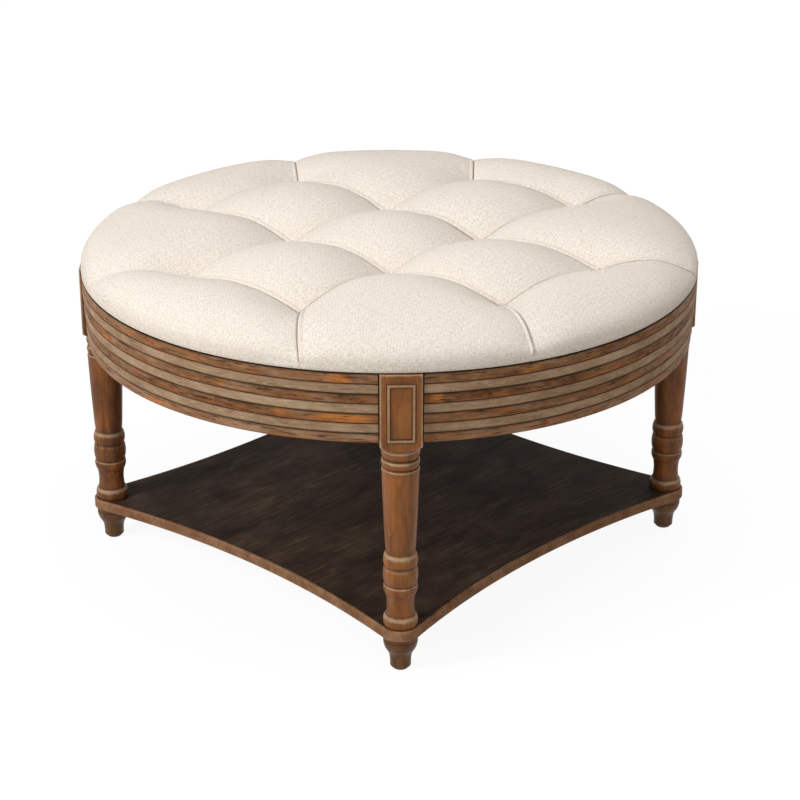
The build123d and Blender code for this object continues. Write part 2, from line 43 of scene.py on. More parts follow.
LOG = logging.getLogger("ottoman_table")
METRES = 0.001
HEADINGS = {"front": -90.0, "right": 0.0, "back": 90.0, "left": 180.0}
QUARTERS = {
    "front_right": -90.0,
    "back_right": 0.0,
    "back_left": 90.0,
    "front_left": 180.0,
}

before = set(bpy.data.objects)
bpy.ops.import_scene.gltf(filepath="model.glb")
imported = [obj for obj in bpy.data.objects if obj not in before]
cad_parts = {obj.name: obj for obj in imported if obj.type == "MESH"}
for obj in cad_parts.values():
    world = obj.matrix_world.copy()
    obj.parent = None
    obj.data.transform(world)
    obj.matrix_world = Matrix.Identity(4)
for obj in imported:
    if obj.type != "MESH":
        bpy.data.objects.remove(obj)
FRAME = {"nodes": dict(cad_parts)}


# Sizes that the frame shares with the CAD source


@dataclass(frozen=True)
class TableSizes:
    """Main sizes of the table, in millimetres."""

    apron_radius: float = 457.2
    rail_top: float = 450.4
    apron_height: float = 100.4
    shelf_top: float = 67.8
    foot_top: float = 52.3
    glide_height: float = 3.0
    block_half: float = 28.6
    leg_axis_radius: float = 432.0


SIZES = TableSizes()


# Small helpers


def hex_colour(code: str) -> tuple[float, float, float, float]:
    """Turn an sRGB hex value into a linear colour.

    Args:
        code: Colour such as "#8A5A3C".

    Returns:
        Linear red, green, blue and an alpha of 1.
    """
    channels = [int(code[i : i + 2], 16) / 255 for i in (1, 3, 5)]
    linear = [c / 12.92 if c <= 0.04045 else ((c + 0.055) / 1.055) ** 2.4 for c in channels]
    return (linear[0], linear[1], linear[2], 1.0)


def add_node(
    tree: Tree, kind: str, inputs: dict | None = None, **settings: object
) -> bpy.types.Node:
    """Add a node with its settings and links.

    Args:
        tree: Shader or geometry tree.
        kind: Blender's name for the node.
        inputs: Input name or index to a value, or to the socket that feeds it.
        **settings: Properties of the node.

    Returns:
        The new node.
    """
    node = tree.nodes.new(kind)
    for name, value in settings.items():
        setattr(node, name, value)
    for name, value in (inputs or {}).items():
        if isinstance(value, Socket):
            tree.links.new(value, node.inputs[name])
        else:
            node.inputs[name].default_value = value
    return node


@dataclass(frozen=True)
class Nodes:
    """Short calls that add nodes to one tree and hand back the socket that is wanted."""

    tree: Tree

    def add(
        self, kind: str, inputs: dict | None = None, output: int | str = 0, **settings: object
    ) -> Socket:
        """Add a node and hand back one of its outputs."""
        return add_node(self.tree, kind, inputs, **settings).outputs[output]

    def stored(self, name: str, output: str = "Fac") -> Socket:
        """Value that the mesh keeps for each point."""
        return self.add("ShaderNodeAttribute", None, output, attribute_name=name)

    def object_place(self) -> Socket:
        """Object coordinates, in metres."""
        return self.add("ShaderNodeTexCoord", None, "Object")

    def mapped(
        self,
        place: Socket,
        scale: Sequence[float] = (1, 1, 1),
        turn: float = 0.0,
        offset: float = 0.0,
    ) -> Socket:
        """Scale, turn and move coordinates.

        Args:
            place: The coordinates.
            scale: Scale on each axis.
            turn: Turn about Z in degrees.
            offset: Move along every axis.

        Returns:
            Socket with the new coordinates.
        """
        moves = {"Location": (offset,) * 3, "Rotation": (0, 0, math.radians(turn)), "Scale": scale}
        return self.add("ShaderNodeMapping", {"Vector": place, **moves})

    def noise(
        self,
        place: Socket,
        scale: float,
        detail: float,
        roughness: float = 0.5,
        distortion: float = 0.0,
        output: str = "Fac",
    ) -> Socket:
        """Draw noise.

        Args:
            place: Its coordinates.
            scale: Spots in a unit of the coordinates.
            detail: Number of finer layers.
            roughness: Strength of each finer layer.
            distortion: How far the spots are swirled.
            output: Fac for one value, Color for three.

        Returns:
            Socket with the noise.
        """
        shape = {"Detail": detail, "Roughness": roughness, "Distortion": distortion}
        return self.add("ShaderNodeTexNoise", {"Vector": place, "Scale": scale, **shape}, output)

    def remap(
        self,
        value: Socket,
        low: float,
        high: float,
        start: float = 0.0,
        stop: float = 1.0,
        easing: str = "LINEAR",
    ) -> Socket:
        """Map one range of values to another, held at its ends.

        Args:
            value: The values.
            low: Value that becomes start.
            high: Value that becomes stop.
            start: Result at low.
            stop: Result at high.
            easing: LINEAR or SMOOTHSTEP.

        Returns:
            Socket with the result.
        """
        ends = {"From Min": low, "From Max": high, "To Min": start, "To Max": stop}
        return self.add("ShaderNodeMapRange", {"Value": value, **ends}, interpolation_type=easing)

    def sum_of(self, operation: str, *values: Socket | float) -> Socket:
        """Work out one sum on values or sockets."""
        return self.add("ShaderNodeMath", dict(enumerate(values)), operation=operation)

    def weighted(self, *parts: tuple[Socket, float]) -> Socket:
        """Add sockets up, each times its weight."""
        total = self.sum_of("MULTIPLY", *parts[0])
        for socket, weight in parts[1:]:
            total = self.sum_of("MULTIPLY_ADD", socket, weight, total)
        return total

    def blend(self, share: Socket, first: Socket | str, second: Socket | str) -> Socket:
        """Mix two colours, each a socket or a hex value, by the share of the second."""
        sides = [hex_colour(side) if isinstance(side, str) else side for side in (first, second)]
        return self.add("ShaderNodeMix", {0: share, 6: sides[0], 7: sides[1]}, 2, data_type="RGBA")

    def bump(self, height: Socket, strength: float, depth_mm: float) -> Socket:
        """Tilt the normals as a fine relief would."""
        relief = {"Height": height, "Strength": strength, "Distance": depth_mm * METRES}
        return self.add("ShaderNodeBump", relief)

    def shade(self, inputs: dict) -> None:
        """Make the surface from the values of Blender's own Principled shader."""
        shader = self.add("ShaderNodeBsdfPrincipled", inputs)
        add_node(self.tree, "ShaderNodeOutputMaterial", {"Surface": shader})


def blank_tree(owner: Material | bpy.types.World) -> Nodes:
    """Empty the tree of a new material or world."""
    owner.use_nodes = True
    owner.node_tree.nodes.clear()
    return Nodes(owner.node_tree)


def smoothstep(low: float, high: float, value: np.ndarray) -> np.ndarray:
    """Ease from 0 at low to 1 at high."""
    share = np.clip((value - low) / (high - low), 0, 1)
    return share * share * (3 - 2 * share)


def bell(away: np.ndarray, width: float) -> np.ndarray:
    """Fall smoothly from 1 at no distance to about a third at this width."""
    return np.exp(-((away / width) ** 2))


def ray_at(angle: float) -> np.ndarray:
    """Unit vector on the plan, at an angle in radians."""
    return np.array([math.cos(angle), math.sin(angle)])


def arc_through(
    start: Sequence[float], crest: Sequence[float], finish: Sequence[float], count: int
) -> np.ndarray:
    """Sample the arc through three points.

    Args:
        start: First point.
        crest: Point in the middle.
        finish: Last point.
        count: Number of samples.

    Returns:
        Array of count points.
    """
    a, b, c = (np.array(p, float) for p in (start, crest, finish))
    u, v = b - a, c - a
    crossed = 2 * (u[0] * v[1] - u[1] * v[0])
    centre = a + (u @ u * np.array([v[1], -v[0]]) + v @ v * np.array([-u[1], u[0]])) / crossed
    first, middle, last = (math.atan2(*(p - centre)[::-1]) for p in (a, b, c))
    to_middle = math.remainder(middle - first, 2 * math.pi)
    to_last = to_middle + math.remainder(last - middle, 2 * math.pi)
    angles = first + np.linspace(0, to_last, count)
    return centre + math.dist(a, centre) * np.stack([np.cos(angles), np.sin(angles)], axis=1)


def ring_faces(
    ring: Sequence[int], following: Sequence[int] | int, flip: bool = False
) -> list[tuple[int, ...]]:
    """Join a ring of points to the next ring, or to one middle point.

    Args:
        ring: Point numbers once round.
        following: Point numbers of the next ring, or the middle point's number.
        flip: Turn the faces over.

    Returns:
        Quads or triangles whose front is outwards for rings that turn left and rise.
    """
    faces = []
    for i in range(len(ring)):
        j = (i + 1) % len(ring)
        tail = (following,) if isinstance(following, int) else (following[j], following[i])
        face = (ring[i], ring[j], *tail)
        faces.append(face[::-1] if flip else face)
    return faces


def grid_faces(rows: int, columns: int) -> list[tuple[int, ...]]:
    """Join each closed ring of a grid, numbered row by row, to the next."""
    rings = [range(row * columns, (row + 1) * columns) for row in range(rows)]
    return [face for ring, after in zip(rings, rings[1:]) for face in ring_faces(ring, after)]


def make_mesh(name: str, points: np.ndarray, faces: Sequence[Sequence[int]]) -> Mesh:
    """Make a smooth-shaded mesh from points in millimetres.

    Args:
        name: Name of the mesh.
        points: Array of points.
        faces: Point numbers of each face.

    Returns:
        The mesh, in metres.
    """
    mesh = bpy.data.meshes.new(name)
    mesh.from_pydata((points * METRES).tolist(), [], faces)
    mesh.polygons.foreach_set("use_smooth", [True] * len(mesh.polygons))
    mesh.update()
    return mesh


def store_values(mesh: Mesh, **values: np.ndarray) -> None:
    """Keep numbers or vectors for the points of a mesh.

    Args:
        mesh: Mesh that keeps them.
        **values: Name that the materials read, to one value or three for each point. Points
            past the last one given keep 0.
    """
    for name, given in values.items():
        kind, key = ("FLOAT", "value") if given.ndim == 1 else ("FLOAT_VECTOR", "vector")
        kept = np.zeros((len(mesh.vertices), *given.shape[1:]), np.float32)
        kept[: len(given)] = given
        mesh.attributes.new(name, kind, "POINT").data.foreach_set(key, kept.ravel())


def add_piece(
    name: str, mesh: Mesh, material: Material, replaced: str
) -> bpy.types.Object:
    """Put a finished mesh into the scene as a piece of the table.

    Args:
        name: Name of the piece.
        mesh: Its mesh, already in place.
        material: Its finish.
        replaced: CAD node that it stands for.

    Returns:
        The new object.
    """
    piece = bpy.data.objects.new(name, mesh)
    bpy.context.scene.collection.objects.link(piece)
    mesh.materials.clear()
    mesh.materials.append(material)
    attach(piece, "root")
    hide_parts(replaced)
    triangles = sum(len(p.vertices) - 2 for p in mesh.polygons)
    LOG.info("%s: %d triangles", name, triangles)
    return piece


def run_tree(name: str, tree: Tree, values: dict[str, object]) -> Mesh:
    """Run a geometry tree once and keep its plain mesh.

    Args:
        name: Name of the mesh.
        tree: Geometry tree with named inputs.
        values: Input name to value.

    Returns:
        The finished mesh.
    """
    carrier = bpy.data.objects.new(f"{name}_carrier", bpy.data.meshes.new(f"{name}_seed"))
    bpy.context.scene.collection.objects.link(carrier)
    modifier = carrier.modifiers.new("shape", "NODES")
    modifier.node_group = tree
    for item in tree.interface.items_tree:
        if item.item_type == "SOCKET" and item.in_out == "INPUT" and item.name in values:
            modifier[item.identifier] = values[item.name]
    bpy.context.view_layer.update()
    graph = bpy.context.evaluated_depsgraph_get()
    mesh = bpy.data.meshes.new_from_object(carrier.evaluated_get(graph))
    carrier.modifiers.remove(modifier)
    bpy.data.objects.remove(carrier)
    mesh.name = name
    return mesh


def ripple(values: np.ndarray, seed: float, waves: Sequence[float]) -> np.ndarray:
    """Sum of slow waves that look random but never change.

    Args:
        values: Where along the run, in millimetres.
        seed: Number that shifts the waves.
        waves: Wavelengths in millimetres.

    Returns:
        Values from about -1 to 1.
    """
    total = np.zeros_like(values, float)
    for number, wave in enumerate(waves):
        total += np.sin(values * 2 * math.pi / wave + seed * (1.7 + number) + 2.1 * number)
    return total / len(waves)


# Finishes


class Grain(Enum):
    """Where a wood's grain runs."""

    UPRIGHT = "upright"
    DIAGONAL = "diagonal"
    ALONG_STRIP = "along strip"


def spot_scale(scale: Sequence[float], size_mm: float, stretch: float) -> tuple[float, ...]:
    """Scale of spots of this size, drawn out towards the grain's own scale by stretch."""
    return tuple(s**stretch * (1 / (size_mm * METRES)) ** (1 - stretch) for s in scale)


@dataclass(frozen=True)
class Patch:
    """Soft patches of another tone: rust from sap, weathered grey, pale scuffs."""

    tone: str
    size_mm: float
    low: float
    high: float
    share: float
    streaky: float = 0.0
    stretch: float = 0.35
    attribute: str = ""

    def lay(
        self,
        nodes: Nodes,
        place: Socket,
        scale: Sequence[float],
        streaks: Socket,
        colour: Socket,
        number: int,
    ) -> Socket:
        """Lay the patches over a colour.

        Args:
            nodes: The material's nodes.
            place: Coordinates that follow the grain.
            scale: The streaks' scale on each axis.
            streaks: The grain's own noise.
            colour: Colour so far.
            number: Which patch of the finish this is, which moves its noise.

        Returns:
            Socket with the patched colour.
        """
        spots_scale = spot_scale(scale, self.size_mm, self.stretch)
        spots = nodes.noise(
            nodes.mapped(place, spots_scale, offset=3.1 * number + 1.7), 1.0, 4.0, 0.6, 0.5
        )
        parts = [(spots, 1 - self.streaky), (streaks, self.streaky)]
        if self.attribute:
            parts.append((nodes.stored(self.attribute), 1.0))
        laid = nodes.weighted(*parts)
        mask = nodes.remap(laid, self.low, self.high, stop=self.share, easing="SMOOTHSTEP")
        return nodes.blend(mask, colour, self.tone)


@dataclass(frozen=True)
class WoodFinish:
    """Stained and distressed solid wood: streaked grain, and pale wood at sanded edges."""

    name: str
    tones: tuple[str, ...]
    worn: tuple[str, str]
    # Colour of the painted shade in grooves and in the lines between strips.
    recess: str
    grain: Grain
    patches: tuple[Patch, ...] = ()
    contrast: float = 0.14
    streak_width_mm: float = 2.4
    streak_length_mm: float = 90.0
    cloud_mm: float = 45.0
    streak_share: float = 0.5
    cloud_share: float = 0.34
    tone_share: float = 0.12
    worn_share: float = 0.8
    roughness: float = 0.5
    gloss: float = 0.3
    pore_depth_mm: float = 0.25
    cloud_stretch: float = 0.35
    chip_scale: float = 150.0
    mottle_scale: float = 38.0

    def stain(self, nodes: Nodes, spread: Socket) -> Socket:
        """Colour the grain with the tones, evenly spaced from dark to light."""
        ramp = add_node(nodes.tree, "ShaderNodeValToRGB", {"Fac": spread})
        elements = ramp.color_ramp.elements
        while len(elements) < len(self.tones):
            elements.new(0.5)
        for number, tone in enumerate(self.tones):
            elements[number].position = number / (len(self.tones) - 1)
            elements[number].color = hex_colour(tone)
        return ramp.outputs["Color"]

    def material(self) -> Material:
        """Build the material.

        Returns:
            A material that reads Object coordinates, or the strip's own run, and the wear,
            partly painted highlight, and the painted shade of each point.
        """
        made = bpy.data.materials.new(self.name)
        nodes = blank_tree(made)
        on_strip = self.grain is Grain.ALONG_STRIP
        place = nodes.stored("grain_run", "Vector") if on_strip else nodes.object_place()
        turned = nodes.mapped(place, turn=-45.0 if self.grain is Grain.DIAGONAL else 0.0)
        across = 1 / (self.streak_width_mm * METRES)
        along = 1 / (self.streak_length_mm * METRES)
        upright = self.grain is Grain.UPRIGHT
        scale = (across, across, along) if upright else (along, across, across)
        stretched = nodes.mapped(turned, scale)
        streaks = nodes.noise(stretched, 1.0, 5.0, 0.62, 0.6)
        pores = nodes.noise(stretched, 3.4, 3.0, 0.7)
        cloud_scale = spot_scale(scale, self.cloud_mm, self.cloud_stretch)
        clouds = nodes.noise(nodes.mapped(turned, cloud_scale), 1.0, 3.0, 0.55, 0.8)
        # The stored tone varies the strips at random, and on the side and back legs is painted
        # shade that darkens them.
        mixed = nodes.weighted(
            (streaks, self.streak_share),
            (clouds, self.cloud_share),
            (pores, 1 - self.streak_share - self.cloud_share),
            (nodes.stored("tone"), self.tone_share),
        )
        spread = nodes.remap(mixed, 0.5 - self.contrast, 0.5 + self.contrast)
        colour = self.stain(nodes, spread)
        for number, patch in enumerate(self.patches):
            colour = patch.lay(nodes, turned, scale, streaks, colour, number)
        chips = nodes.noise(place, self.chip_scale, 4.0, 0.65)
        mottle = nodes.noise(place, self.mottle_scale, 5.0, 0.65)
        bare = nodes.blend(nodes.remap(mottle, 0.38, 0.62), *self.worn)
        # On the legs' beads the stored wear is partly painted highlight on their upper sides.
        broken = nodes.weighted((nodes.stored("wear"), 1.0), (chips, 0.6), (streaks, 0.5))
        rubbed = nodes.remap(broken, 0.78, 1.25, stop=self.worn_share, easing="SMOOTHSTEP")
        sanded = nodes.blend(rubbed, colour, bare)
        relief = nodes.weighted((streaks, 0.6), (pores, 0.4))
        matt, sleek = self.roughness + 0.09, self.roughness - 0.07
        # Painted shade: the stored shade darkens grooves and the lines between strips.
        nodes.shade(
            {
                "Base Color": nodes.blend(nodes.stored("recess"), sanded, self.recess),
                "Roughness": nodes.remap(mixed, 0.3, 0.7, matt, sleek),
                "Normal": nodes.bump(relief, 0.6, self.pore_depth_mm),
                "Specular IOR Level": self.gloss,
            }
        )
        return made


@dataclass(frozen=True)
class LinenFinish:
    """Woven linen: plain weave of uneven threads, matt, with a little sheen."""

    name: str = "linen_weave"
    thread: str = "#FCF8F2"
    slub: str = "#DFD4C8"
    shade: str = "#B6A593"
    # Colour of the painted shade along the crease lines.
    fold: str = "#80695A"
    thread_mm: float = 1.9
    slub_mm: float = 9.0
    wander_scale: float = 260.0
    wave_period: float = 0.314
    cloud_scale: float = 14.0
    relief_mm: float = 0.6
    roughness: float = 0.92
    sheen: float = 0.06
    gloss: float = 0.06

    def material(self) -> Material:
        """Build the material.

        Returns:
            A material that reads the cloth's own run across and along, in metres.
        """
        made = bpy.data.materials.new(self.name)
        nodes = blank_tree(made)
        thread, slub = self.thread_mm * METRES, self.slub_mm * METRES
        run = nodes.stored("cloth_run", "Vector")
        wander = nodes.noise(run, self.wander_scale, 2.0, output="Color")
        drift = {0: wander, 1: (thread * 0.5,) * 3, 2: run}
        moved = nodes.add("ShaderNodeVectorMath", drift, operation="MULTIPLY_ADD")
        waves, slubs = [], []
        for turn in (0.0, 90.0):
            turned = nodes.mapped(moved, turn=turn)
            wave = {"Vector": turned, "Scale": self.wave_period / thread, "Distortion": 0.0}
            waves.append(nodes.add("ShaderNodeTexWave", wave, "Fac"))
            drawn_out = nodes.mapped(turned, (1 / thread, 1 / slub, 1.0))
            slubs.append((nodes.noise(drawn_out, 1.4, 3.0, 0.62), 0.5))
        squares = {"Vector": moved, "Scale": 1 / thread}
        checker = nodes.add("ShaderNodeTexChecker", squares, "Fac")
        weave = {0: checker, 2: waves[0], 3: waves[1]}
        over = nodes.add("ShaderNodeMix", weave, data_type="FLOAT")
        uneven = nodes.weighted(*slubs)
        body = nodes.blend(nodes.remap(uneven, 0.43, 0.59), self.thread, self.slub)
        woven = nodes.blend(nodes.remap(over, 0.5, 0.0, stop=0.85), body, self.shade)
        clouds = nodes.noise(run, self.cloud_scale, 3.0)
        soft = nodes.blend(nodes.remap(clouds, 0.45, 0.75, stop=0.12), woven, self.slub)
        relief = nodes.weighted((over, 0.5), (uneven, 1.3))
        # Painted shade darkens the crease lines towards the fold colour.
        nodes.shade(
            {
                "Base Color": nodes.blend(nodes.stored("recess"), soft, self.fold),
                "Roughness": self.roughness,
                "Normal": nodes.bump(relief, 0.8, self.relief_mm),
                "Sheen Weight": self.sheen,
                "Sheen Roughness": 0.5,
                "Specular IOR Level": self.gloss,
            }
        )
        return made


@dataclass(frozen=True)
class PlainFinish:
    """A hidden or small part's finish: one substance with a fine grit, mottled a little."""

    name: str
    tone: str
    mottle: str
    grit_mm: float
    roughness: float
    metallic: float = 0.0
    layers_mm: float = 0.0
    relief_mm: float = 0.05

    def material(self) -> Material:
        """Build the material.

        Returns:
            A material that reads Object coordinates.
        """
        made = bpy.data.materials.new(self.name)
        nodes = blank_tree(made)
        place, grit_scale = nodes.object_place(), 1 / (self.grit_mm * METRES)
        if self.layers_mm:
            place = nodes.mapped(place, (12.0, 12.0, 1 / (self.layers_mm * METRES)))
            grit_scale = 1.0
        grit = nodes.noise(place, grit_scale, 4.0, 0.6)
        sleek, matt = self.roughness - 0.08, self.roughness + 0.08
        nodes.shade(
            {
                "Base Color": nodes.blend(nodes.remap(grit, 0.35, 0.65), self.tone, self.mottle),
                "Roughness": nodes.remap(grit, 0.0, 1.0, sleek, matt),
                "Metallic": self.metallic,
                "Normal": nodes.bump(grit, 0.5, self.relief_mm),
            }
        )
        return made


# Legs, feet and shelf


def profile_from_shares(shares: Sequence, length: float, radius: float, count: int) -> np.ndarray:
    """Sample a turned outline.

    Args:
        shares: Arcs, each a start, a crest and an end, as shares of the length and the radius.
        length: Height of the turning in millimetres.
        radius: Largest radius in millimetres.
        count: Samples on each arc.

    Returns:
        Heights and radii in two columns.
    """
    runs = []
    for arc in shares:
        start, crest, finish = [(length * h, radius * r) for h, r in arc]
        samples = arc_through(start, crest, finish, count)
        if runs and math.dist(samples[0], runs[-1][-1]) < 1e-6:
            samples = samples[1:]
        runs.append(samples)
    return np.concatenate(runs)


def prominence(heights: np.ndarray, radii: np.ndarray, reach: float) -> np.ndarray:
    """How far each point of an outline stands out of its surroundings.

    Args:
        heights: Rising heights in millimetres.
        radii: Radii in millimetres.
        reach: Width of the surroundings in millimetres.

    Returns:
        Millimetres above, or below, the mean radius nearby.
    """
    even = np.arange(heights[0] - 3 * reach, heights[-1] + 3 * reach, 0.25)
    steady = np.interp(even, heights, radii)
    kernel = np.exp(-0.5 * (np.arange(-3 * reach, 3 * reach + 0.25, 0.25) / reach) ** 2)
    padded = np.pad(steady, len(kernel) // 2, mode="edge")
    mean = np.convolve(padded, kernel / kernel.sum(), "valid")[: len(even)]
    return radii - np.interp(heights, even, mean)


@dataclass
class TurnedLegs:
    """Four legs: a square block with a framed panel on its outer face, above a turning."""

    block_height: float = 101.9
    leg_height: float = 382.6
    turned_radius: float = 26.4
    arris_round: float = 1.5
    top_round: float = 1.0
    shares: tuple = (
        ((0.000, 0.856), (0.030, 0.924), (0.056, 0.848)),
        ((0.062, 0.788), (0.121, 0.724), (0.178, 0.812)),
        ((0.180, 0.830), (0.207, 0.902), (0.229, 0.862)),
        ((0.230, 0.850), (0.283, 0.926), (0.330, 0.850)),
        ((0.331, 0.862), (0.367, 0.906), (0.398, 0.808)),
        ((0.404, 0.782), (0.613, 0.894), (0.832, 0.974)),
        ((0.832, 0.974), (0.846, 0.982), (0.858, 0.920)),
        ((0.859, 0.912), (0.882, 0.998), (0.906, 0.908)),
        ((0.907, 0.908), (0.930, 1.000), (0.952, 0.970)),
    )
    shoulder_start: float = 0.971
    shoulder_belly: float = 0.979
    panel_half_width: float = 19.2
    panel_half_height: float = 42.0
    panel_middle: float = 327.6
    bead_width: float = 4.8
    bead_proud: float = 1.3
    field_depth: float = 0.9
    groove_gain: float = 0.7
    # Painted shade: the left, right and back legs stand in shade and are darkened through their
    # stored tone.
    side_shades: tuple = (("left", -0.9), ("right", -0.8), ("back", -0.4))
    samples: int = 15
    sharp_from: float = 38.0

    @property
    def turned_length(self) -> float:
        """Height of the turning."""
        return self.leg_height - self.block_height

    @property
    def arris_corner(self) -> float:
        """Radius that clears the corners of the block."""
        return math.hypot(SIZES.block_half, SIZES.block_half) + 1.0

    def panel_relief(
        self, side: np.ndarray, height: np.ndarray
    ) -> tuple[np.ndarray, np.ndarray, np.ndarray]:
        """Relief of the framed panel on the outer face.

        Args:
            side: Distance from the leg's centre line.
            height: Height above the shelf.

        Returns:
            Millimetres proud of the face, the bead's wear and the painted shade along its edges.
        """
        inset = np.minimum(
            self.panel_half_width - np.abs(side),
            self.panel_half_height - np.abs(height - self.panel_middle),
        )
        across = np.clip(inset / self.bead_width, 0, 1)
        bead = self.bead_proud * np.sqrt(np.clip(1 - np.abs(2 * across - 1) ** 2.6, 0, 1))
        inside = np.where(inset >= self.bead_width, -self.field_depth, bead)
        on_bead = smoothstep(0.08, 0.3, across) * smoothstep(0.08, 0.3, 1 - across)
        # Painted shade in the quirks on both sides of the bead.
        edges = bell(inset + 0.1, 0.5) + bell(inset - self.bead_width - 0.1, 0.6)
        return np.where(inset <= 0, 0, inside), on_bead, edges

    def ring_heights(self) -> tuple[np.ndarray, np.ndarray]:
        """Heights and turned radii of every ring, from the shelf up."""
        length, corner = self.turned_length, self.arris_corner
        turned = profile_from_shares(self.shares, length, self.turned_radius, self.samples)
        neck = turned[-1][1]
        start = (self.shoulder_start * length, neck)
        belly = (self.shoulder_belly * length, (neck + corner) / 2)
        shoulder = arc_through(start, belly, (length, corner), 22)
        bead_lines = np.array([-0.6, 0.0, 0.25, 0.8, 1.6, 2.4, 3.2, 4.0, 4.55, 4.8, 5.0, 5.8])
        low = self.panel_middle - self.panel_half_height + bead_lines
        high = self.panel_middle + self.panel_half_height - bead_lines[::-1]
        middle = np.linspace(low[-1] + 6, high[0] - 6, 9)
        top = self.leg_height - self.top_round * np.array([2.0, 1.0, 0.62, 0.3, 0.1, 0.0])
        foot_of_block = [length + 0.4, length + 1.5]
        block = np.concatenate([foot_of_block, low, middle, high, [top[0] - 4], top])
        block = np.stack([block, np.full(len(block), corner)], axis=1)
        rings = np.concatenate([turned, shoulder, block])
        return rings[:, 0], rings[:, 1]

    def ring_angles(self) -> np.ndarray:
        """Angles of a ring's points, closer together on the outer face and at the corners."""
        corner = [36.0, 40.0, 42.6, 43.5, 44.3, 45.0]
        bead = [0.0, 4.0, 8.0, 11.5, 13.4, 14.2, 14.4, 14.65, 15.2, 16.0]
        bead += [16.8, 17.6, 18.4, 18.95, 19.2, 19.6]
        outer = [math.degrees(math.atan2(s, SIZES.block_half)) for s in bead]
        plain = [0.0, 6.0, 12.0, 18.0, 24.0, 30.0]
        angles = set()
        for turn, half in ((0, outer), (90, plain), (180, plain), (270, plain)):
            for angle in half + corner:
                angles |= {round((turn + side * angle) % 360, 5) for side in (1, -1)}
        return np.radians(sorted(angles))

    def build(self, finish: WoodFinish) -> None:
        """Make the four legs.

        Args:
            finish: The legs' wood.
        """
        material = finish.material()
        heights, radii = self.ring_heights()
        angles = self.ring_angles()
        turned_top = int(np.searchsorted(heights, self.turned_length * self.shoulder_start))
        stands = np.zeros(len(heights))
        stands[:turned_top] = prominence(heights[:turned_top], radii[:turned_top], 4.5)
        radii = radii + self.groove_gain * np.minimum(stands, 0)
        for number, (side, heading) in enumerate(HEADINGS.items()):
            around, wear, recess = self._points(heights, radii, angles, stands, 3.1 * number + 1)
            points, faces = self._close_ends(around, len(heights), len(angles))
            out, across = (ray_at(math.radians(heading + turn)) for turn in (0, 90))
            plan = (points[:, :1] + SIZES.leg_axis_radius) * out + points[:, 1:2] * across
            placed = np.column_stack([plan, points[:, 2] + SIZES.shelf_top])
            mesh = make_mesh(f"turned_leg_{side}", placed, faces)
            # Painted shade: darker stored tone for the legs that stand in shade.
            stain = np.full(len(placed), dict(self.side_shades).get(side, 0.0))
            store_values(mesh, wear=wear, recess=recess, tone=stain)
            mesh.set_sharp_from_angle(angle=math.radians(self.sharp_from))
            add_piece(f"turned_leg_{side}", mesh, material, f"leg_{side}")

    def _points(
        self,
        heights: np.ndarray,
        radii: np.ndarray,
        angles: np.ndarray,
        stands: np.ndarray,
        seed: float,
    ) -> tuple[np.ndarray, np.ndarray, np.ndarray]:
        """Points, wear with painted highlight, and painted shade of one leg's side.

        Args:
            heights: Ring heights.
            radii: Turned radius of each ring.
            angles: Point angles.
            stands: How far each ring stands out of its surroundings.
            seed: Number that makes this leg's wear its own.

        Returns:
            Points, wear with painted highlight, and painted shade, ring by ring.
        """
        z, theta = np.meshgrid(heights, angles, indexing="ij")
        drop = np.clip(heights - (self.leg_height - self.top_round), 0, self.top_round)
        half = SIZES.block_half - (self.top_round - np.sqrt(self.top_round**2 - drop**2))
        arris = self.arris_round + 0.5 * ripple(heights, seed, (37, 61, 13))
        half, arris = half[:, None], arris[:, None]
        high = np.maximum(np.abs(np.cos(theta)), np.abs(np.sin(theta)))
        low = np.minimum(np.abs(np.cos(theta)), np.abs(np.sin(theta)))
        centre = half - arris
        reach = centre * (high + low)
        rounded = reach + np.sqrt(np.clip(reach**2 - 2 * centre**2 + arris**2, 0, None))
        square = np.where(half * low / high <= centre, half / high, rounded)
        turned = radii[:, None] + np.zeros(len(angles))
        radius = np.minimum(turned, square)
        on_block = turned > square
        outer = (np.cos(theta) > 0.72) & (turned > square - 0.01)
        y = radius * np.sin(theta)
        proud, on_bead, edges = self.panel_relief(y, z)
        x = radius * np.cos(theta) + np.where(outer, proud, 0)
        wear = 0.95 * bell(half * (1 - low / high), 2.4) + 0.75 * bell(self.leg_height - z, 2.2)
        wear += np.where(outer, 1.15 * on_bead, 0)
        # Upward sides of the beads turn pale: partly sanding wear, partly painted highlight from
        # light above.
        slope = np.gradient(radii, heights + np.arange(len(heights)) * 1e-6)
        upward = smoothstep(-0.05, 0.7, -slope)
        wear_and_highlight_turned = (1.15 * smoothstep(-0.75, 0.1, stands) * upward)[:, None]
        wear_shoulder = bell(turned - square, 1.3) * (z > self.turned_length * 0.97)
        wear = np.where(on_block, wear, wear_and_highlight_turned) + 0.8 * wear_shoulder
        # Painted shade in the grooves, mostly on their undersides.
        recess_turned = (smoothstep(0.2, 0.95, -stands) * (1 - 0.75 * upward))[:, None]
        recess = np.where(on_block, np.where(outer, edges, 0), recess_turned)
        points = np.stack([x, y, z], axis=2).reshape(-1, 3)
        return points, np.clip(wear, 0, 1.2).ravel(), np.clip(recess, 0, 0.9).ravel()

    @staticmethod
    def _close_ends(points: np.ndarray, rings: int, count: int) -> tuple[np.ndarray, list]:
        """Face the side, and close each end with a shrunken ring and a centre point.

        Args:
            points: The side's points.
            rings: Number of rings.
            count: Points in a ring.

        Returns:
            Points and faces of the closed leg.
        """
        faces, blocks, total = grid_faces(rings, count), [points], len(points)
        for first, flip in ((0, True), ((rings - 1) * count, False)):
            rim = points[first : first + count]
            blocks += [rim * (0.9, 0.9, 1.0), np.array([[0.0, 0.0, rim[0, 2]]])]
            inner = range(total, total + count)
            faces += ring_faces(range(first, first + count), inner, flip)
            faces += ring_faces(inner, total + count, flip)
            total += count + 1
        return np.concatenate(blocks), faces


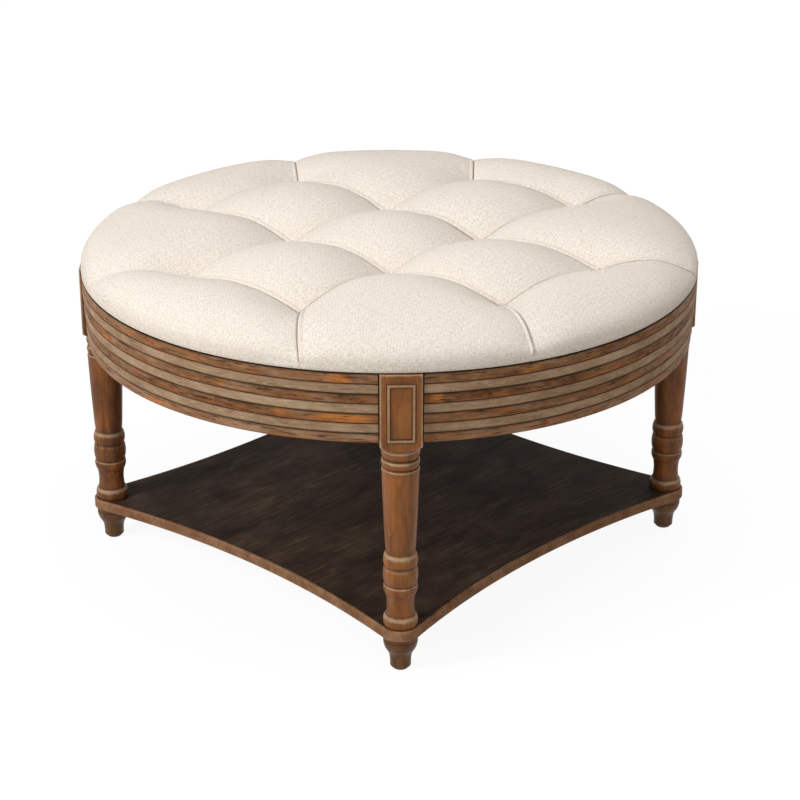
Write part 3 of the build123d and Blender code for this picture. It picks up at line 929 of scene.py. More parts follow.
@dataclass
class TurnedFeet:
    """Four turned feet under the shelf."""

    foot_height: float = 49.3
    foot_radius: float = 24.3
    shares: tuple = (
        ((0.000, 0.527), (0.018, 0.584), (0.053, 0.605)),
        ((0.053, 0.605), (0.183, 0.609), (0.314, 0.634)),
        ((0.314, 0.634), (0.436, 0.695), (0.548, 0.823)),
        ((0.548, 0.823), (0.700, 0.963), (0.852, 0.996)),
        ((0.853, 0.955), (0.913, 0.996), (0.972, 0.955)),
        ((0.973, 0.900), (0.986, 0.905), (1.000, 0.900)),
    )
    segments: int = 72
    sharp_from: float = 40.0

    def build(self, finish: WoodFinish) -> None:
        """Make the four feet.

        Args:
            finish: The feet's wood.
        """
        material = finish.material()
        outline = profile_from_shares(self.shares, self.foot_height, self.foot_radius, 12)
        stands = np.pad(prominence(outline[:, 0], outline[:, 1], 3.5), 1)
        ends = [outline[:1] * (1, 0.4), outline[-1:] * (1, 0.4)]
        rows = np.concatenate([ends[0], outline, ends[1]])
        angles = np.linspace(0, 2 * math.pi, self.segments, endpoint=False)
        height, turn = np.meshgrid(rows[:, 0], angles, indexing="ij")
        radius = rows[:, 1:]
        around = np.stack([radius * np.cos(turn), radius * np.sin(turn), height], axis=2)
        around = around.reshape(-1, 3)
        points = np.concatenate([around, [[0, 0, 0], [0, 0, self.foot_height]]])
        total, count = len(around), self.segments
        faces = grid_faces(len(rows), count) + ring_faces(range(count), total, flip=True)
        faces += ring_faces(range(total - count, total), total + 1)
        worn = np.repeat(smoothstep(0.3, 1.6, stands) * 0.8, count)
        # Painted shade in the grooves of the feet.
        groove_shade = np.repeat(smoothstep(0.3, 1.4, -stands), count)
        for side, heading in HEADINGS.items():
            axis = SIZES.leg_axis_radius * ray_at(math.radians(heading))
            placed = points + np.append(axis, SIZES.glide_height)
            mesh = make_mesh(f"turned_foot_{side}", placed, faces)
            store_values(mesh, wear=worn, recess=groove_shade)
            mesh.set_sharp_from_angle(angle=math.radians(self.sharp_from))
            add_piece(f"turned_foot_{side}", mesh, material, f"foot_{side}")


@dataclass
class Shelf:
    """Slab with four hollow sides and round corners, its rim sanded pale."""

    thickness: float = 15.5
    waist: float = 299.67
    corner_radius: float = 27.5
    top_round: float = 2.2
    bottom_round: float = 1.3
    sharp_from: float = 50.0

    def outline(self) -> tuple[np.ndarray, np.ndarray]:
        """Sample the outline once round, with its outward normals."""
        axis = SIZES.leg_axis_radius
        diagonal = math.sqrt(2) * axis
        side_radius = (
            axis**2 + self.waist**2 - diagonal * self.waist - self.corner_radius**2
        ) / (diagonal + 2 * self.corner_radius - 2 * self.waist)
        points, normals = [], []
        for heading in HEADINGS.values():
            bearing, bend = math.radians(heading), math.radians(heading + 45)
            corner = axis * ray_at(bearing)
            centre = (self.waist + side_radius) * ray_at(bend)
            joint = centre - corner
            half = math.remainder(math.atan2(joint[1], joint[0]) - bearing, 2 * math.pi)
            for angle in np.linspace(-half, half, 26)[:-1]:
                normals.append(ray_at(bearing + angle))
                points.append(corner + self.corner_radius * normals[-1])
            start = math.atan2(-joint[1], -joint[0])
            sweep = 2 * math.remainder(bend + math.pi - start, 2 * math.pi)
            for share in np.linspace(0, 1, 90)[:-1]:
                inward = ray_at(start + sweep * share)
                points.append(centre + side_radius * inward)
                normals.append(-inward)
        return np.array(points), np.array(normals)

    def rings(self) -> list[tuple[float, float, float]]:
        """Inset, height and wear of each ring round the rim, from the underside up."""
        quarter = np.radians([0, 18, 36, 54, 72, 90])
        low, high = self.bottom_round, self.top_round
        rings = [
            (low * (1 - math.cos(a)), SIZES.foot_top + low * (1 - math.sin(a)), 0.8)
            for a in quarter[::-1]
        ]
        rings += [(0.0, SIZES.foot_top + self.thickness * s, 0.62) for s in (0.3, 0.5, 0.7)]
        for a in quarter:
            height = SIZES.shelf_top - high * (1 - math.sin(a))
            rings.append((high * (1 - math.cos(a)), height, 0.75 + 0.35 * math.sin(2 * a)))
        return rings + [(high + 1.2, SIZES.shelf_top, 0.42), (high + 3.5, SIZES.shelf_top, 0.05)]

    def build(self, finish: WoodFinish) -> None:
        """Make the shelf.

        Args:
            finish: The shelf's stained wood.
        """
        outline, normals = self.outline()
        count, rings = len(outline), self.rings()
        steps = np.linalg.norm(np.diff(outline, axis=0, append=outline[:1]), axis=1)
        turns = np.concatenate([[0], np.cumsum(steps)[:-1]]) / steps.sum() * 2 * math.pi
        rub = 0.5 + 0.5 * np.sin(turns * 17) * np.sin(turns * 5 + 1)
        blocks, wear = [], []
        for inset, height, worn in rings:
            blocks.append(np.column_stack([outline - normals * inset, np.full(count, height)]))
            wear.append(worn * (0.75 + 0.5 * rub) if worn < 0.6 else np.full(count, worn))
        faces, total = grid_faces(len(rings), count), len(rings) * count
        ends = ((len(rings) - 1, False), (0, True))
        for row, flip in ends:
            rim, ring = blocks[row][:, :2], range(row * count, (row + 1) * count)
            height = np.full(count, rings[row][1])
            for share in (0.9, 0.7, 0.5, 0.3, 0.12):
                inner = range(total, total + count)
                blocks.append(np.column_stack([rim * share, height]))
                faces += ring_faces(ring, inner, flip)
                ring, total = inner, total + count
            blocks.append(np.array([[0.0, 0.0, height[0]]]))
            faces += ring_faces(ring, total, flip)
            total += 1
        mesh = make_mesh("espresso_shelf", np.concatenate(blocks), faces)
        store_values(mesh, wear=np.concatenate(wear), recess=np.zeros(total))
        mesh.set_sharp_from_angle(angle=math.radians(self.sharp_from))
        add_piece("espresso_shelf", mesh, finish.material(), "shelf")


# Apron


@dataclass
class Apron:
    """Seven bent strips in turn brown and grey, each pair stepping inwards, in four quarters."""

    band_count: int = 7
    band_gap: float = 0.3
    band_step: float = 1.5
    strip_thickness: float = 8.0
    edge_round: float = 0.9
    strip_end_gap: float = 1.8
    resolution: int = 150
    sharp_from: float = 38.0
    tree_inputs: tuple = (
        ("NodeSocketFloat", ("Radius", "Start Angle", "Sweep Angle", "Top Level")),
        ("NodeSocketFloat", ("Band Pitch", "Band Step", "Band Height")),
        ("NodeSocketFloat", ("Thickness", "Edge Round")),
        ("NodeSocketInt", ("Bands", "Resolution")),
        ("NodeSocketMaterial", ("Wood",)),
    )
    glows: tuple = (
        ("front_left", 0, 600.0, 24.0, 0.22),
        ("front_left", 0, 470.0, 14.0, 0.12),
        ("front_left", 0, 250.0, 30.0, 0.1),
        ("front_left", 4, 600.0, 42.0, 0.26),
        ("front_left", 4, 515.0, 16.0, 0.2),
        ("front_left", 2, 430.0, 12.0, 0.16),
        ("front_left", 6, 300.0, 40.0, 0.14),
        ("front_left", 2, 180.0, 34.0, 0.14),
        ("front_right", 2, 18.0, 12.0, 0.24),
        ("front_right", 2, 90.0, 30.0, 0.14),
        ("front_right", 0, 150.0, 30.0, 0.12),
        ("front_right", 4, 60.0, 34.0, 0.14),
        ("front_right", 6, 160.0, 40.0, 0.12),
    )

    @property
    def band_height(self) -> float:
        """Height of one strip."""
        return (SIZES.apron_height - self.band_gap * (self.band_count - 1)) / self.band_count

    def tree(self) -> Tree:
        """Geometry tree: strips swept along arcs round the table's axis, one for each band."""
        tree = bpy.data.node_groups.new("bent_strips", "GeometryNodeTree")
        for kind, names in self.tree_inputs:
            for name in names:
                tree.interface.new_socket(name=name, in_out="INPUT", socket_type=kind)
        tree.interface.new_socket(
            name="Geometry", in_out="OUTPUT", socket_type="NodeSocketGeometry"
        )
        nodes, given = Nodes(tree), add_node(tree, "NodeGroupInput").outputs
        bend = {n: given[n] for n in ("Resolution", "Radius", "Start Angle", "Sweep Angle")}
        arc = nodes.add("GeometryNodeCurveArc", bend, mode="RADIUS")
        amount = {"Geometry": arc, "Amount": given["Bands"]}
        copies = add_node(tree, "GeometryNodeDuplicateElements", amount, domain="SPLINE").outputs
        index = copies["Duplicate Index"]
        inset = nodes.sum_of("MULTIPLY", index, given["Band Step"])
        shrink = nodes.sum_of("SUBTRACT", 1.0, nodes.sum_of("DIVIDE", inset, given["Radius"]))
        level = nodes.sum_of("MULTIPLY_ADD", index, given["Band Pitch"], given["Top Level"])
        scaled = {0: nodes.add("GeometryNodeInputPosition"), "Scale": shrink}
        drawn = nodes.add("ShaderNodeVectorMath", scaled, operation="SCALE")
        lift = nodes.add("ShaderNodeCombineXYZ", {"Z": level})
        placed = nodes.add("ShaderNodeVectorMath", {0: drawn, 1: lift}, operation="ADD")
        moved = {"Geometry": copies["Geometry"], "Position": placed}
        strips = nodes.add("GeometryNodeSetPosition", moved)
        length = nodes.add("GeometryNodeSplineParameter", None, "Length")
        for name, kind, value in (("run", "FLOAT", length), ("band", "INT", index)):
            kept = {"Geometry": strips, "Name": name, "Value": value}
            strips = nodes.add(
                "GeometryNodeStoreNamedAttribute", kept, data_type=kind, domain="POINT"
            )
        sides = {0: given["Thickness"], 1: given["Band Height"]}
        section = nodes.add("GeometryNodeCurvePrimitiveQuadrilateral", sides)
        rounded = {"Curve": section, "Count": 3, "Radius": given["Edge Round"]}
        eased = nodes.add("GeometryNodeFilletCurve", rounded, mode="POLY")
        close = nodes.add("GeometryNodeSubdivideCurve", {"Curve": eased, "Cuts": 7})
        swept = {"Curve": strips, "Profile Curve": close, "Fill Caps": True}
        solid = nodes.add("GeometryNodeCurveToMesh", swept)
        real = nodes.add("GeometryNodeRealizeInstances", {"Geometry": solid})
        wooden = {"Geometry": real, "Material": given["Wood"]}
        dressed = nodes.add("GeometryNodeSetMaterial", wooden)
        add_node(tree, "NodeGroupOutput", {"Geometry": dressed})
        return tree

    def build(self, brown: WoodFinish, grey: WoodFinish) -> None:
        """Make the eight sets of strips.

        Args:
            brown: Finish of the first, third, fifth and seventh bands.
            grey: Finish of the bands between them.
        """
        tree = self.tree()
        pitch = self.band_height + self.band_gap
        setback = math.asin((SIZES.block_half + self.strip_end_gap) / SIZES.apron_radius)
        lengths = {
            "Radius": SIZES.apron_radius - self.strip_thickness / 2,
            "Band Pitch": -2 * pitch,
            "Band Step": self.band_step,
            "Band Height": self.band_height,
            "Thickness": self.strip_thickness,
            "Edge Round": self.edge_round,
        }
        for colour, first, finish in (("brown", 0, brown), ("grey", 1, grey)):
            material = finish.material()
            lengths["Top Level"] = SIZES.rail_top - self.band_height / 2 - first * pitch
            values = {name: length * METRES for name, length in lengths.items()}
            values["Sweep Angle"] = math.radians(90) - 2 * setback
            values["Bands"] = len(range(first, self.band_count, 2))
            values |= {"Resolution": self.resolution, "Wood": material}
            for number, (quarter, heading) in enumerate(QUARTERS.items()):
                values["Start Angle"] = math.radians(heading) + setback
                name = f"{colour}_bands_{quarter}"
                mesh = run_tree(name, tree, values)
                self._mark_wear_and_shadow(mesh, first, number, quarter, pitch)
                replaced = f"{colour}_strips_{quarter}"
                add_piece(name, mesh, material, replaced)

    def _mark_wear_and_shadow(
        self, mesh: Mesh, first: int, number: int, quarter: str, pitch: float
    ) -> None:
        """Store where the grain runs, the rubbed lips and the painted shadow between the strips.

        Args:
            mesh: One set of strips.
            first: Number of its top band.
            number: Number of the quarter.
            quarter: Its name.
            pitch: Height from one band to the next.
        """
        count = len(mesh.vertices)
        points = np.empty(count * 3)
        mesh.vertices.foreach_get("co", points)
        x, y, z = points.reshape(-1, 3).T / METRES
        run, band = np.empty(count, np.float32), np.empty(count, np.int32)
        for name, values in (("run", run), ("band", band)):
            mesh.attributes[name].data.foreach_get("value", values)
            mesh.attributes.remove(mesh.attributes[name])
        along, layer = run / METRES, first + 2 * band
        level = SIZES.rail_top - self.band_height / 2 - layer * pitch
        up = (z - level) / (self.band_height / 2)
        shift = 1.37 * number + 0.83 * band + 0.31 * first
        grain = np.stack([run + shift, z * METRES, np.hypot(x, y) * METRES], axis=1)
        turn = 0.55 * ripple(along, shift * 7, (410, 233, 131)) + 0.25 * np.sin(5.1 * shift)
        turn += 0.8 * (layer == self.band_count - 1)
        rub = ripple(along, shift * 3, (170, 83, 47))
        lip = bell(up + 0.8, 0.14) * (0.8 + 0.4 * rub)
        glow = np.zeros(count)
        for side, glowing, centre, half, strength in self.glows:
            if side == quarter:
                glow += strength * bell(along - centre, half) * (layer == glowing)
        # Painted shadow along the top and bottom of each band, widest on brown bands under a grey
        # band's overhang.
        above = np.where(layer % 2 == 1, 0.13, np.where(layer == 0, 0.14, 0.26))
        below = 0.1 if first == 0 else 0.2
        dark = 0.9 * bell(up - 1, above) + 0.95 * bell(up + 1, below)
        wear, recess = np.clip(lip, 0, 1.1), np.clip(dark, 0, 0.9)
        store_values(mesh, grain_run=grain, tone=turn, wear=wear, glow=glow, recess=recess)
        mesh.polygons.foreach_set("use_smooth", [True] * len(mesh.polygons))
        mesh.set_sharp_from_angle(angle=math.radians(self.sharp_from))


# Upholstery


def smooth_curve(points: Sequence[Sequence[float]], count: int) -> np.ndarray:
    """Draw a smooth curve through points.

    Args:
        points: Points in millimetres.
        count: Number of samples.

    Returns:
        Samples with their length along the curve: length, then the two coordinates.
    """
    given = np.array(points, float)
    knots = np.concatenate([[0], np.cumsum(np.linalg.norm(np.diff(given, axis=0), axis=1))])
    slopes = np.gradient(given, knots, axis=0)
    fine = np.linspace(0, knots[-1], count)
    before = np.clip(np.searchsorted(knots, fine, side="right") - 1, 0, len(knots) - 2)
    gap = (knots[before + 1] - knots[before])[:, None]
    u = ((fine - knots[before]) / gap[:, 0])[:, None]
    curve = (
        (2 * u**3 - 3 * u**2 + 1) * given[before]
        + (u**3 - 2 * u**2 + u) * gap * slopes[before]
        + (3 * u**2 - 2 * u**3) * given[before + 1]
        + (u**3 - u**2) * gap * slopes[before + 1]
    )
    length = np.concatenate([[0], np.cumsum(np.linalg.norm(np.diff(curve, axis=0), axis=1))])
    return np.column_stack([length, curve])


@dataclass
class Pleat:
    """A folded pleat between two points of the unrolled cover."""

    start: np.ndarray
    end: np.ndarray
    width: float
    roll: float
    crisp: float
    border: tuple[float, float] | None = None

    def measure(self, places: np.ndarray) -> tuple[np.ndarray, np.ndarray]:
        """Share along the pleat and signed distance to it, of each place."""
        run = self.end - self.start
        share = np.clip(((places - self.start) @ run) / (run @ run), 0, 1)
        away = places - (self.start + share[:, None] * run)
        side = np.sign(run[0] * away[:, 1] - run[1] * away[:, 0])
        return share, np.linalg.norm(away, axis=1) * np.where(side == 0, 1, side)

    def pull(self, places: np.ndarray, full: np.ndarray, power: float) -> np.ndarray:
        """Depth that this pleat adds at each place.

        Args:
            places: Places on the unrolled plan.
            full: Depth of a whole pleat at each place.
            power: How full the domes beside it are.

        Returns:
            Depth in millimetres.
        """
        share, away = self.measure(places)
        rounding = 1.0 + 5.0 * (1 - self.crisp)
        away = np.sqrt(away**2 + rounding**2) - rounding
        width = self.width
        if self.border:
            shallow, rim = self.border
            run = share * np.linalg.norm(self.end - self.start)
            near = np.clip(1 - run / width, 0, 1) ** power
            full = shallow + (full - shallow) * near - (shallow - rim) * smoothstep(0.8, 1.0, share)
            width = width * (1 - 0.45 * share)
        return full * np.clip(1 - away / width, 0, 1) ** power


@dataclass
class Sheet:
    """One panel of the cover, as a grid of places on the unrolled plan with the pleats round it."""

    across: np.ndarray
    outward: np.ndarray
    places: np.ndarray
    pleats: list[Pleat]
    at_rim: bool

    def refine(self, finer: Sheet, values: np.ndarray) -> np.ndarray:
        """Carry vectors from this grid to a finer grid of the same panel.

        Args:
            finer: The finer grid.
            values: Rows by columns of vectors.

        Returns:
            Rows by columns of vectors on the finer grid.
        """
        lines = ((self.outward, finer.outward), (self.across, finer.across))
        for axis, (own, wanted) in enumerate(lines):
            place = np.interp(wanted, own, np.arange(len(own)))
            low = np.minimum(place.astype(int), len(own) - 2)
            part = (place - low).reshape((-1, 1, 1) if axis == 0 else (1, -1, 1))
            below, above = np.take(values, low, axis), np.take(values, low + 1, axis)
            values = below * (1 - part) + above * part
        return values


@dataclass
class TuftedCushion:
    """Crowned pad in linen, drawn down by twelve blind tufts that folded pleats join.

    The cover is worked out on its unrolled plan, where a place's distance from the middle is its
    length along the crown, so pleats and weave keep their size where the cover turns down. Each
    panel between pleats swells into a dome of its own.
    """

    profile: tuple = (
        (0.0, 518.0),
        (133.7, 517.9),
        (250.0, 516.1),
        (289.0, 514.4),
        (321.7, 512.1),
        (349.5, 509.4),
        (373.5, 506.1),
        (393.9, 502.4),
        (411.3, 498.2),
        (425.7, 493.4),
        (437.3, 488.2),
        (446.3, 482.5),
        (452.6, 476.0),
        (456.4, 468.7),
        (457.7, 461.5),
        (457.8, 457.4),
    )
    bottom: float = 451.4
    edge_round: float = 3.0
    turn_under_radius: float = 415.3
    cover_thickness: float = 1.2
    pocket_radius: float = 451.6
    pocket_top: float = 468.2
    tuft_pitch: float = 147.0
    tuft_floor: float = 476.0
    pleat_width: float = 104.0
    dome_power: float = 2.15
    border_depths: tuple = (10.0, 0.6)
    border_headings: dict = field(
        default_factory=lambda: {
            (-1, 2): 94.0,
            (1, 2): 86.0,
            (2, 1): 31.0,
            (2, -1): 2.0,
            (1, -2): -76.0,
            (-1, -2): -92.0,
            (-2, -1): 180.0,
            (-2, 1): 151.0,
        }
    )
    tuft_shifts: dict = field(
        default_factory=lambda: {
            (-1, 2): (9.0, 5.0),
            (0, 1): (0.0, -7.0),
            (1, 0): (-13.0, -6.0),
            (0, -1): (-6.0, 0.0),
            (2, -1): (2.0, 9.0),
            (-1, -2): (13.0, -2.0),
            (1, -2): (0.0, 10.0),
        }
    )
    crisp_starts: tuple = ((-1, -2), (1, -2), (1, 0))
    cover_grid: tuple = (60, 64, 0.86)
    cloth_grid: tuple = (24, 20, 0.3)
    cloth_frames: int = 20
    cloth_pressure: float = 4.0
    cloth_cap: float = 3.5
    sag: float = 0.7
    sharp_from: float = 75.0

    def __post_init__(self) -> None:
        """Work out the crown, the tufts and the pleats."""
        self.crown = smooth_curve(self.profile, 800)
        self.reach = self.crown[-1, 0]
        self.tufts = {}
        for row in range(-2, 3):
            for column in (-1, 1) if row % 2 == 0 else (-2, 0, 2):
                shift = self.tuft_shifts.get((column, row), (0.0, 0.0))
                place = np.array([column, row]) * self.tuft_pitch + shift
                radius = np.hypot(*place)
                length = np.interp(radius, self.crown[:, 1], self.crown[:, 0])
                self.tufts[(column, row)] = place / radius * length
        self.pleats = {}
        for (column, row), place in self.tufts.items():
            for step in (-1, 1):
                other = (column + step, row + 1)
                if other in self.tufts:
                    crisp = 1.0 if step == -1 or (column, row) in self.crisp_starts else 0.2
                    pleat = Pleat(place, self.tufts[other], self.pleat_width, -1.2, crisp)
                    self.pleats[frozenset(((column, row), other))] = pleat
        self.rim_ends = {}
        for key, heading in self.border_headings.items():
            ray = ray_at(math.radians(heading))
            start = self.tufts[key]
            along = start @ ray
            length = -along + math.sqrt(along**2 - start @ start + self.reach**2)
            self.rim_ends[key] = start + ray * length
            roll = -2.0 if key == (1, -2) else 1.0
            self.pleats[frozenset((key, "rim"))] = Pleat(
                start, self.rim_ends[key], self.pleat_width, roll, 1.0, self.border_depths
            )

    def crown_points(self, places: np.ndarray) -> tuple[np.ndarray, np.ndarray]:
        """Points and outward normals of the uncut crown.

        Args:
            places: Places on the unrolled plan.

        Returns:
            Points and unit normals.
        """
        length = np.linalg.norm(places, axis=1)
        ray = places / np.maximum(length, 1e-9)[:, None]
        radius = np.interp(length, self.crown[:, 0], self.crown[:, 1])
        height = np.interp(length, self.crown[:, 0], self.crown[:, 2])
        lean = np.gradient(self.crown[:, 2], self.crown[:, 0])
        spread = np.gradient(self.crown[:, 1], self.crown[:, 0])
        normal_out = -np.interp(length, self.crown[:, 0], lean)
        normal_up = np.interp(length, self.crown[:, 0], spread)
        points = np.column_stack([ray * radius[:, None], height])
        normals = np.column_stack([ray * normal_out[:, None], normal_up])
        return points, normals / np.linalg.norm(normals, axis=1)[:, None]

    def panel_points(self, sheet: Sheet) -> np.ndarray:
        """Points of one panel, drawn in by the pleats round it.

        Args:
            sheet: The panel.

        Returns:
            Points in millimetres.
        """
        places = sheet.places.reshape(-1, 2)
        points, normals = self.crown_points(places)
        inner = np.minimum(np.linalg.norm(places, axis=1), self.pleat_limit)
        full = (np.interp(inner, self.crown[:, 0], self.crown[:, 2]) - self.tuft_floor) / 1.75
        raw = sum(pleat.pull(places, full, self.dome_power) for pleat in sheet.pleats)
        depth = raw - 0.25 * full * (raw / (2 * full)) ** 4
        return points - normals * depth[:, None]

    @property
    def pleat_limit(self) -> float:
        """Distance from the middle beyond which a pleat's depth stays the same."""
        return 2.24 * self.tuft_pitch

    def creases(self, places: np.ndarray) -> tuple[np.ndarray, np.ndarray]:
        """Fine relief where the cover is folded: a tight groove with a rolled lip beside it.

        Args:
            places: Places on the unrolled plan.

        Returns:
            Millimetres along the normal, and the shade in each groove.
        """
        relief = np.zeros(len(places))
        shade = np.zeros(len(places))
        for pleat in self.pleats.values():
            share, away = pleat.measure(places)
            near_rim = smoothstep(0.95, 1.0, share) if pleat.border else 0.0
            side = away * np.sign(pleat.roll)
            lip = smoothstep(0.0, 1.4, side) * (1 - smoothstep(3.8, 7.2, side))
            dip, groove = bell(side - 7.2, 1.4), bell(away, 1.3)
            tight = 1 - smoothstep(0.12, 0.42, np.minimum(share, 1 - share))
            crisp = pleat.crisp + 0.55 * (1 - pleat.crisp) * tight
            fold = abs(pleat.roll) * lip - 0.4 * dip - 1.8 * groove
            relief += fold * (1 - near_rim) * crisp
            # Painted shade along each crease and in the dip beside its lip.
            line = 0.75 * bell(away, 1.0) + 0.12 * dip
            shade = np.maximum(shade, line * (1 - 0.6 * near_rim) * crisp)
        for place in self.tufts.values():
            away = np.linalg.norm(places - place, axis=1)
            relief -= 1.5 * bell(away, 4.0)
        return relief, shade

    def sheets(self, steps: int, border_steps: int, crowding: float) -> list[Sheet]:
        """Lay a grid over each panel, its edges on the pleats.

        Args:
            steps: Grid steps along a pleat.
            border_steps: Grid steps from the border tufts to the rim.
            crowding: How much closer the lines are beside the pleats, from 0 to 1.

        Returns:
            Five panels between tufts and eight at the border.
        """
        ease = np.linspace(0, 1, steps + 1)
        along = ease - crowding * np.sin(2 * math.pi * ease) / (2 * math.pi)
        ease = np.linspace(0, 1, border_steps + 1)
        outward = ease - 0.7 * crowding * np.sin(2 * math.pi * ease) / (2 * math.pi)
        sheets = []
        for x, y in ((0, 0), (1, 1), (-1, 1), (1, -1), (-1, -1)):
            keys = ((x, y - 1), (x + 1, y), (x, y + 1), (x - 1, y))
            a, b, c, d = (self.tufts[key] for key in keys)
            u, v = np.meshgrid(along, along)
            u, v = u[..., None], v[..., None]
            places = (a * (1 - u) + b * u) * (1 - v) + (d * (1 - u) + c * u) * v
            pleats = [self.pleats[frozenset(pair)] for pair in zip(keys, keys[1:] + keys[:1])]
            sheets.append(Sheet(along, along, places, pleats, False))
        keys = list(self.border_headings)
        for first, second in zip(keys, keys[1:] + keys[:1]):
            notch = ((first[0] + second[0]) / 4, (first[1] + second[1]) / 4)
            chain = [first, notch, second] if notch in self.tufts else [first, second]
            pairs = list(zip(chain[:-1], chain[1:]))
            tufts = [(self.tufts[a], self.tufts[b]) for a, b in pairs]
            parts = [a + along[:-1, None] * (b - a) for a, b in tufts]
            inner = np.concatenate(parts + [self.tufts[second][None]])
            u = [(along[:-1] + part) / len(pairs) for part in range(len(pairs))]
            u = np.concatenate(u + [[1.0]])
            ends = [self.rim_ends[key] for key in (first, second)]
            start, stop = (math.atan2(end[1], end[0]) for end in ends)
            angles = start + math.remainder(stop - start, 2 * math.pi) * u
            rim = self.reach * np.stack([np.cos(angles), np.sin(angles)], axis=1)
            left, right = (
                self.tufts[key] + outward[:, None] * (end - self.tufts[key])
                for key, end in zip((first, second), ends)
            )
            u3, v3 = u[None, :, None], outward[:, None, None]
            places = (1 - v3) * inner[None] + v3 * rim[None]
            places = places + (1 - u3) * left[:, None] + u3 * right[:, None]
            low = (1 - u3) * inner[0] + u3 * inner[-1]
            high = (1 - u3) * rim[0] + u3 * rim[-1]
            pleats = [self.pleats[frozenset(pair)] for pair in pairs]
            pleats += [self.pleats[frozenset((key, "rim"))] for key in (first, second)]
            places = places - (1 - v3) * low - v3 * high
            sheets.append(Sheet(u, outward, places, pleats, True))
        return sheets

    @staticmethod
    def weld(
        sheets: Sequence[Sheet],
    ) -> tuple[np.ndarray, list[np.ndarray], list[tuple[int, ...]], list[int]]:
        """Join the panels along their shared edges.

        Args:
            sheets: The panels.

        Returns:
            Which stacked place each joined point takes, each panel's point numbers, faces, and
            the points along the rim in order.
        """
        stacked = np.round(np.concatenate([s.places.reshape(-1, 2) for s in sheets]), 3) + 0.0
        _, first, number = np.unique(stacked, axis=0, return_index=True, return_inverse=True)
        number = number.ravel()
        grids, faces, rim, total = [], [], [], 0
        for sheet in sheets:
            rows, columns = sheet.places.shape[:2]
            grid = number[total : total + rows * columns].reshape(rows, columns)
            total += rows * columns
            grids.append(grid)
            corners = [grid[:-1, :-1], grid[:-1, 1:], grid[1:, 1:], grid[1:, :-1]]
            quads = np.stack(corners, axis=2).reshape(-1, 4)
            faces += [tuple(quad) for quad in quads.tolist()]
            if sheet.at_rim:
                rim += grid[-1, :-1].tolist()
        return first, grids, faces, rim

    def hold(self, cloth: bpy.types.Object, plan: np.ndarray) -> None:
        """Hold the cloth at the rim and along the pleats.

        Args:
            cloth: The cover as cloth.
            plan: Place of each of its points on the unrolled plan.
        """
        held = smoothstep(0.78, 0.96, np.linalg.norm(plan, axis=1) / self.reach)
        for pleat in self.pleats.values():
            _, away = pleat.measure(plan)
            held = np.maximum(held, 1 - smoothstep(3.0, 14.0, np.abs(away)))
        group = cloth.vertex_groups.new(name="held")
        for index, weight in enumerate(held):
            if weight > 0.01:
                group.add([index], float(weight), "REPLACE")

    def swell(self) -> tuple[list[Sheet], list[np.ndarray]]:
        """Let cloth under pressure find how the cover swells between its pleats.

        Returns:
            The coarse panels that were simulated and the movement on each.
        """
        sheets = self.sheets(*self.cloth_grid)
        first, grids, faces, _ = self.weld(sheets)
        start = np.concatenate([self.panel_points(sheet) for sheet in sheets])[first]
        plan = np.concatenate([sheet.places.reshape(-1, 2) for sheet in sheets])[first]
        mesh = make_mesh("cover_cloth", start, faces)
        cloth = bpy.data.objects.new("cover_cloth", mesh)
        bpy.context.scene.collection.objects.link(cloth)
        self.hold(cloth, plan)
        modifier = cloth.modifiers.new("cloth", "CLOTH")
        settings = modifier.settings
        settings.quality = 8
        settings.mass = 0.3
        settings.tension_stiffness = settings.compression_stiffness = 12
        settings.shear_stiffness = 6
        settings.bending_stiffness = 0.6
        settings.vertex_group_mass = "held"
        settings.use_pressure = True
        settings.uniform_pressure_force = self.cloth_pressure
        settings.effector_weights.gravity = 0
        modifier.collision_settings.use_collision = False
        scene = bpy.context.scene
        cache = modifier.point_cache
        cache.frame_start, cache.frame_end = 1, self.cloth_frames
        for frame_number in range(1, self.cloth_frames + 1):
            scene.frame_set(frame_number)
        graph = bpy.context.evaluated_depsgraph_get()
        settled = np.empty(len(start) * 3)
        cloth.evaluated_get(graph).data.vertices.foreach_get("co", settled)
        settled = settled.reshape(-1, 3) / METRES
        scene.frame_set(1)
        bpy.data.objects.remove(cloth)
        moved = settled - start
        length = np.linalg.norm(moved, axis=1)
        cap = self.cloth_cap
        moved *= (cap * np.tanh(length / cap) / np.maximum(length, 1e-9))[:, None]
        LOG.info("cover_cloth: %d points moved up to %.1f mm", len(start), length.max())
        return sheets, [moved[grid] for grid in grids]

    def build(self, finish: LinenFinish) -> None:
        """Make the cushion.

        Args:
            finish: The cover's linen.
        """
        sheets = self.sheets(*self.cover_grid)
        first, _, faces, rim = self.weld(sheets)
        points = np.concatenate([self.panel_points(sheet) for sheet in sheets])
        coarse, moved = self.swell()
        finer = [old.refine(new, part) for old, new, part in zip(coarse, sheets, moved)]
        points = points + np.concatenate([part.reshape(-1, 3) for part in finer])
        points = points[first]
        places = np.concatenate([sheet.places.reshape(-1, 2) for sheet in sheets])[first]
        relief, shade = self.creases(places)
        _, normals = self.crown_points(places)
        x, y = places.T
        sag = self.sag * ripple(x + 0.6 * y, 1.3, (173, 91, 59))
        sag *= ripple(y - 0.4 * x, 4.1, (149, 107, 67))
        calm = 1 - smoothstep(0.93, 1.0, np.linalg.norm(places, axis=1) / self.reach)
        points = points + normals * (relief + sag * calm)[:, None]
        points[rim] = self.crown_points(places[rim])[0]
        points, faces, runs = self._underside(points, faces, rim, places)
        mesh = make_mesh("tufted_linen_cushion", points, faces)
        cloth_run = np.column_stack([runs, np.zeros(len(runs))]) * METRES
        store_values(mesh, cloth_run=cloth_run, recess=shade)
        mesh.set_sharp_from_angle(angle=math.radians(self.sharp_from))
        linen = finish.material()
        piece = add_piece("tufted_linen_cushion", mesh, linen, "tufted_cushion")

